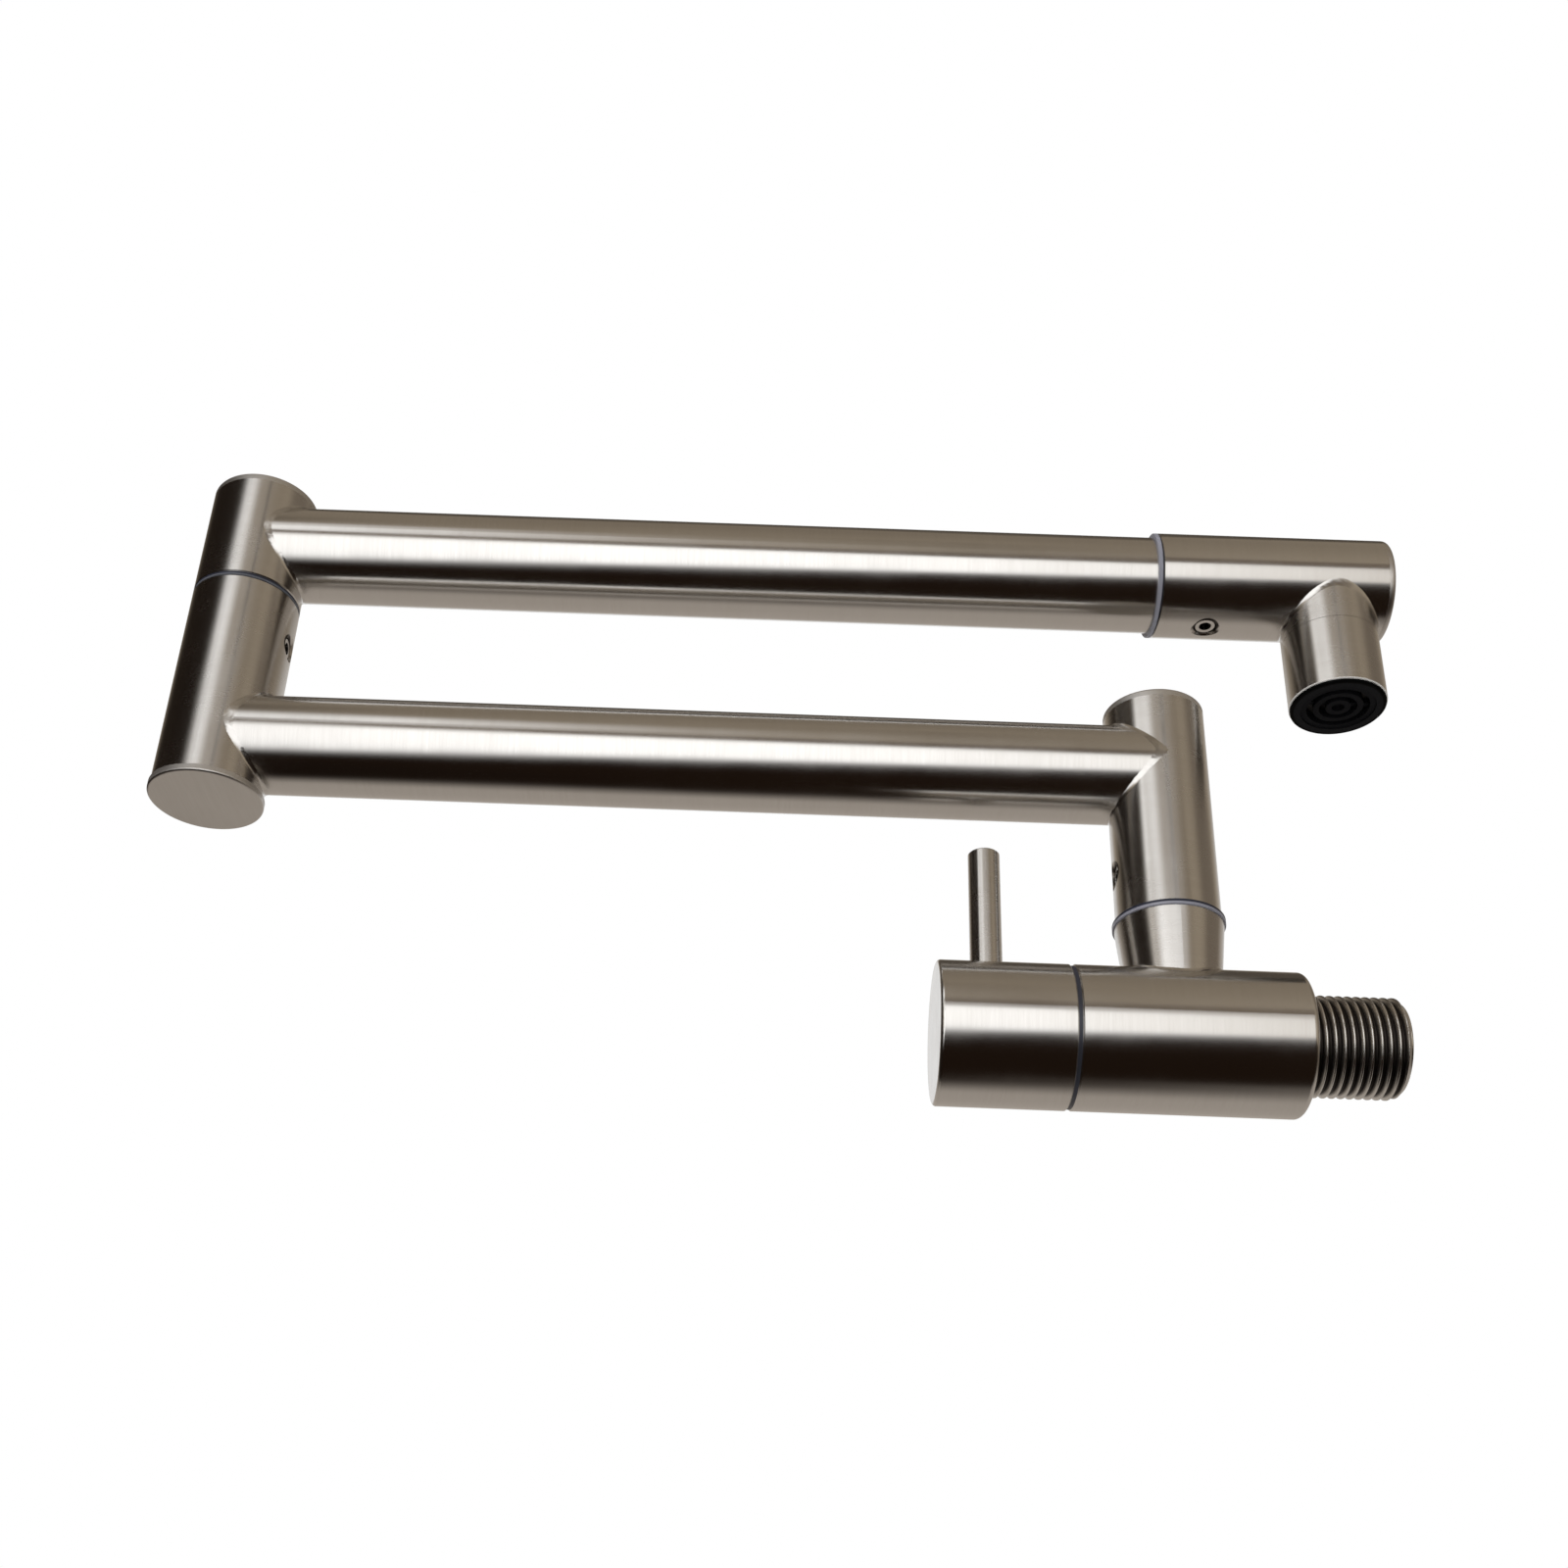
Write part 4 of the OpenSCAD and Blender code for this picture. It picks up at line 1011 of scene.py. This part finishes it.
# %% Weld fillets
def weld_fillet(name, body, seam):
    bm = spun_lens()
    for vert in bm.verts:
        angle = atan2(vert.co.y, vert.co.x)
        lens_x = sqrt(vert.co.x ** 2 + vert.co.y ** 2) - LENS_RING_RADIUS
        place, outward = seam_point(angle, (1 + lens_x) / 2, seam)
        vert.co = Vector(seam["centre"]) + place + outward * LENS_DEPTH * min(0, vert.co.z)
    return new_piece(name, bm, polished, body)


def new_piece(name, bm, material, body):
    bmesh.ops.recalc_face_normals(bm, faces=bm.faces)
    for face in bm.faces:
        face.smooth = True
    mesh = bpy.data.meshes.new(name)
    bm.to_mesh(mesh)
    bm.free()
    mesh.materials.append(material)
    piece = bpy.data.objects.new(name, mesh)
    bpy.context.scene.collection.objects.link(piece)
    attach(piece, body)
    return piece


FROM_RISER, FROM_ELBOW, UP, DOWN = (0, -1, 0), (0, 1, 0), (0, 0, 1), (0, 0, -1)
ALONG = (0, 1, 0)
COLLAR_FOOT_RADIUS = 10.25 * MM
COLLAR_TOP_RADIUS = 11.4 * MM
COLLAR_HEIGHT = 10.7 * MM
polished = polished_weld("polished_weld")
SEAMS = {
    "weld_lower_arm_to_riser": ("lower_swing_arm", dict(
        centre=(0, riser_y, lower_arm_z), branch=FROM_RISER, main=UP, branch_radius=arm_r,
        main_radius=riser_r, branch_width=0.55 * MM, main_width=0.7 * MM, wave_start=0)),
    "weld_lower_arm_to_elbow": ("lower_swing_arm", dict(
        centre=(0, elbow_y, lower_arm_z), branch=FROM_ELBOW, main=UP, branch_radius=arm_r,
        main_radius=sleeve_r, branch_width=0.9 * MM, main_width=0.8 * MM, wave_start=2)),
    "weld_upper_arm_to_elbow": ("upper_swing_arm", dict(
        centre=(0, elbow_y, upper_arm_z), branch=FROM_ELBOW, main=UP, branch_radius=arm_r,
        main_radius=post_r, branch_width=0.8 * MM, main_width=0.8 * MM, wave_start=4)),
    "weld_spout_to_head": ("spout_head", dict(
        centre=(0, spout_y, upper_arm_z), branch=DOWN, main=ALONG, branch_radius=half_size("spout").x,
        main_radius=head_r, branch_width=0.8 * MM, main_width=0.8 * MM, wave_start=1)),
    "weld_collar_to_body": ("valve", dict(
        centre=(0, riser_y, 0), branch=UP, main=ALONG, branch_radius=COLLAR_FOOT_RADIUS,
        main_radius=body_r, branch_width=0.5 * MM, main_width=0.5 * MM, wave_start=3,
        taper=(COLLAR_TOP_RADIUS - COLLAR_FOOT_RADIUS) / COLLAR_HEIGHT)),
}
for name, (body, seam) in SEAMS.items():
    weld_fillet(name, body, seam)
print("weld fillets:", len(SEAMS))


# %% [markdown]
# The CAD thread is a row of separate ridges, which is enough for fit and size. The real one is
# a single groove that winds round. A lathe cuts it by moving the tool one pitch per turn, and a
# spin that moves along its axis does the same: the profile of one pitch is spun through one
# turn, and copies of that turn, each a pitch further on, are merged into one skin. The place
# of one crest, at one angle round the axis, says how far the thread is turned.

# %% Helical skin
THREAD_PITCH = 1.814 * MM
THREAD_DEPTH = 1.162 * MM
CREST_FLAT = 0.12
ROOT_FLAT = 0.24
THREAD_STEPS = 96
CREST_ANGLE = radians(66)
CREST_PLACE = 11.2 * MM
PROFILE_STEPS = 16
MERGE_DISTANCE = THREAD_PITCH / 500


def thread_height(share):
    """Height over the root, from 0 to 1, at a share of one pitch that is centred on the crest."""
    away = abs(share - 0.5) * 2
    flank = (away - CREST_FLAT) / (1 - CREST_FLAT - ROOT_FLAT)
    slope = min(1, max(0, 1 - flank))
    rounded = slope * slope * (3 - 2 * slope)
    return (slope + rounded) / 2


def helical_skin(radius, start, end):
    bm = bmesh.new()
    turns_before = ceil((CREST_PLACE - start) / THREAD_PITCH) + 1
    first = CREST_PLACE + THREAD_PITCH * (CREST_ANGLE / (2 * pi) - 0.5 - turns_before)
    turns = ceil((end - first) / THREAD_PITCH)
    bmesh.ops.create_grid(bm, x_segments=PROFILE_STEPS, y_segments=1, size=0.5)
    bmesh.ops.delete(bm, geom=[vert for vert in bm.verts if vert.co.y > 0], context="VERTS")
    for vert in bm.verts:
        share = vert.co.x + 0.5
        depth = THREAD_DEPTH * (1 - thread_height(share))
        vert.co = Vector((radius - depth, first + share * THREAD_PITCH, 0))
    bmesh.ops.spin(bm, geom=bm.verts[:] + bm.edges[:], axis=(0, 1, 0), cent=(0, 0, 0),
                   dvec=(0, THREAD_PITCH / THREAD_STEPS, 0), angle=radians(360), steps=THREAD_STEPS)
    one_turn = bm.verts[:] + bm.edges[:] + bm.faces[:]
    for turn in range(1, turns):
        copy = bmesh.ops.duplicate(bm, geom=one_turn)["geom"]
        copied_verts = [item for item in copy if isinstance(item, bmesh.types.BMVert)]
        bmesh.ops.translate(bm, verts=copied_verts, vec=(0, turn * THREAD_PITCH, 0))
    bmesh.ops.remove_doubles(bm, verts=bm.verts, dist=MERGE_DISTANCE)
    return bm


print("thread pitch", THREAD_PITCH / MM, "mm, depth", THREAD_DEPTH / MM, "mm")


# %% [markdown]
# The skin is a little too long at both ends. A cut across the axis leaves an open loop of
# edges. Drawing such a loop out, step by step, makes the end face, the bore and the hidden
# tail, and keeps a sharp edge at each step.

# %% Cut and draw out
CUT_PRECISION = 0.0001 * MM
LOOP_PRECISION = 0.001 * MM


def cut_square(bm, y, side):
    """Cuts across the Y axis and drops what is on that side: "before", "after" or None for neither."""
    bmesh.ops.bisect_plane(bm, geom=bm.verts[:] + bm.edges[:] + bm.faces[:], dist=CUT_PRECISION,
                           plane_co=(0, y, 0), plane_no=(0, 1, 0),
                           clear_inner=side == "before", clear_outer=side == "after")


def open_loop(bm, y):
    return [edge for edge in bm.edges
            if edge.is_boundary and all(abs(vert.co.y - y) < LOOP_PRECISION for vert in edge.verts)]


def draw_out(bm, loop, radius, y):
    for edge in loop:
        edge.smooth = False
    grown = bmesh.ops.extrude_edge_only(bm, edges=loop)["geom"]
    for vert in grown:
        if isinstance(vert, bmesh.types.BMVert):
            outwards = Vector((vert.co.x, 0, vert.co.z)).normalized()
            vert.co = radius * outwards + Vector((0, y, 0))
    return [edge for edge in grown if isinstance(edge, bmesh.types.BMEdge) and edge.is_boundary]


print("cutting helpers ready")


# %% [markdown]
# Both ends of the thread are cut off square. The free end gets a bevel, as a real one has, so
# that it finds its way into the wall, and the other end runs out inside the body. The
# finished thread stands for the fixed part, which stays only for fit and size.

# %% Wall thread
THREAD_BEVEL = 1.3 * MM
THREAD_START = -0.9 * MM
INLET_RADIUS = 7 * MM
INLET_CHAMFER = 0.4 * MM
TAIL_GAP = 0.05 * MM


def wall_thread():
    low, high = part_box("inlet_nipple")
    radius, tail_end, end = high.x, low.y, high.y
    root = radius - THREAD_DEPTH
    bm = helical_skin(radius, THREAD_START, end)
    cut_square(bm, THREAD_START, "before")
    cut_square(bm, end - THREAD_BEVEL, None)
    cut_square(bm, end, "after")
    for vert in bm.verts:
        allowed = min(radius - max(0, vert.co.y - end + THREAD_BEVEL), root + vert.co.y - THREAD_START)
        outwards = Vector((vert.co.x, 0, vert.co.z))
        if outwards.length > allowed:
            vert.co = allowed * outwards.normalized() + Vector((0, vert.co.y, 0))
    first_loop = open_loop(bm, THREAD_START)
    loop = draw_out(bm, open_loop(bm, end), INLET_RADIUS + INLET_CHAMFER, end)
    loop = draw_out(bm, loop, INLET_RADIUS, end - INLET_CHAMFER)
    loop = draw_out(bm, loop, INLET_RADIUS, tail_end)
    loop = draw_out(bm, loop, root, tail_end)
    loop = draw_out(bm, loop, root, THREAD_START - TAIL_GAP)
    bmesh.ops.bridge_loops(bm, edges=first_loop + loop)
    return new_piece("wall_thread", bm, steel_thread, "valve")


thread = wall_thread()
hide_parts("inlet_nipple")
print("wall thread:", len(thread.data.polygons), "faces")
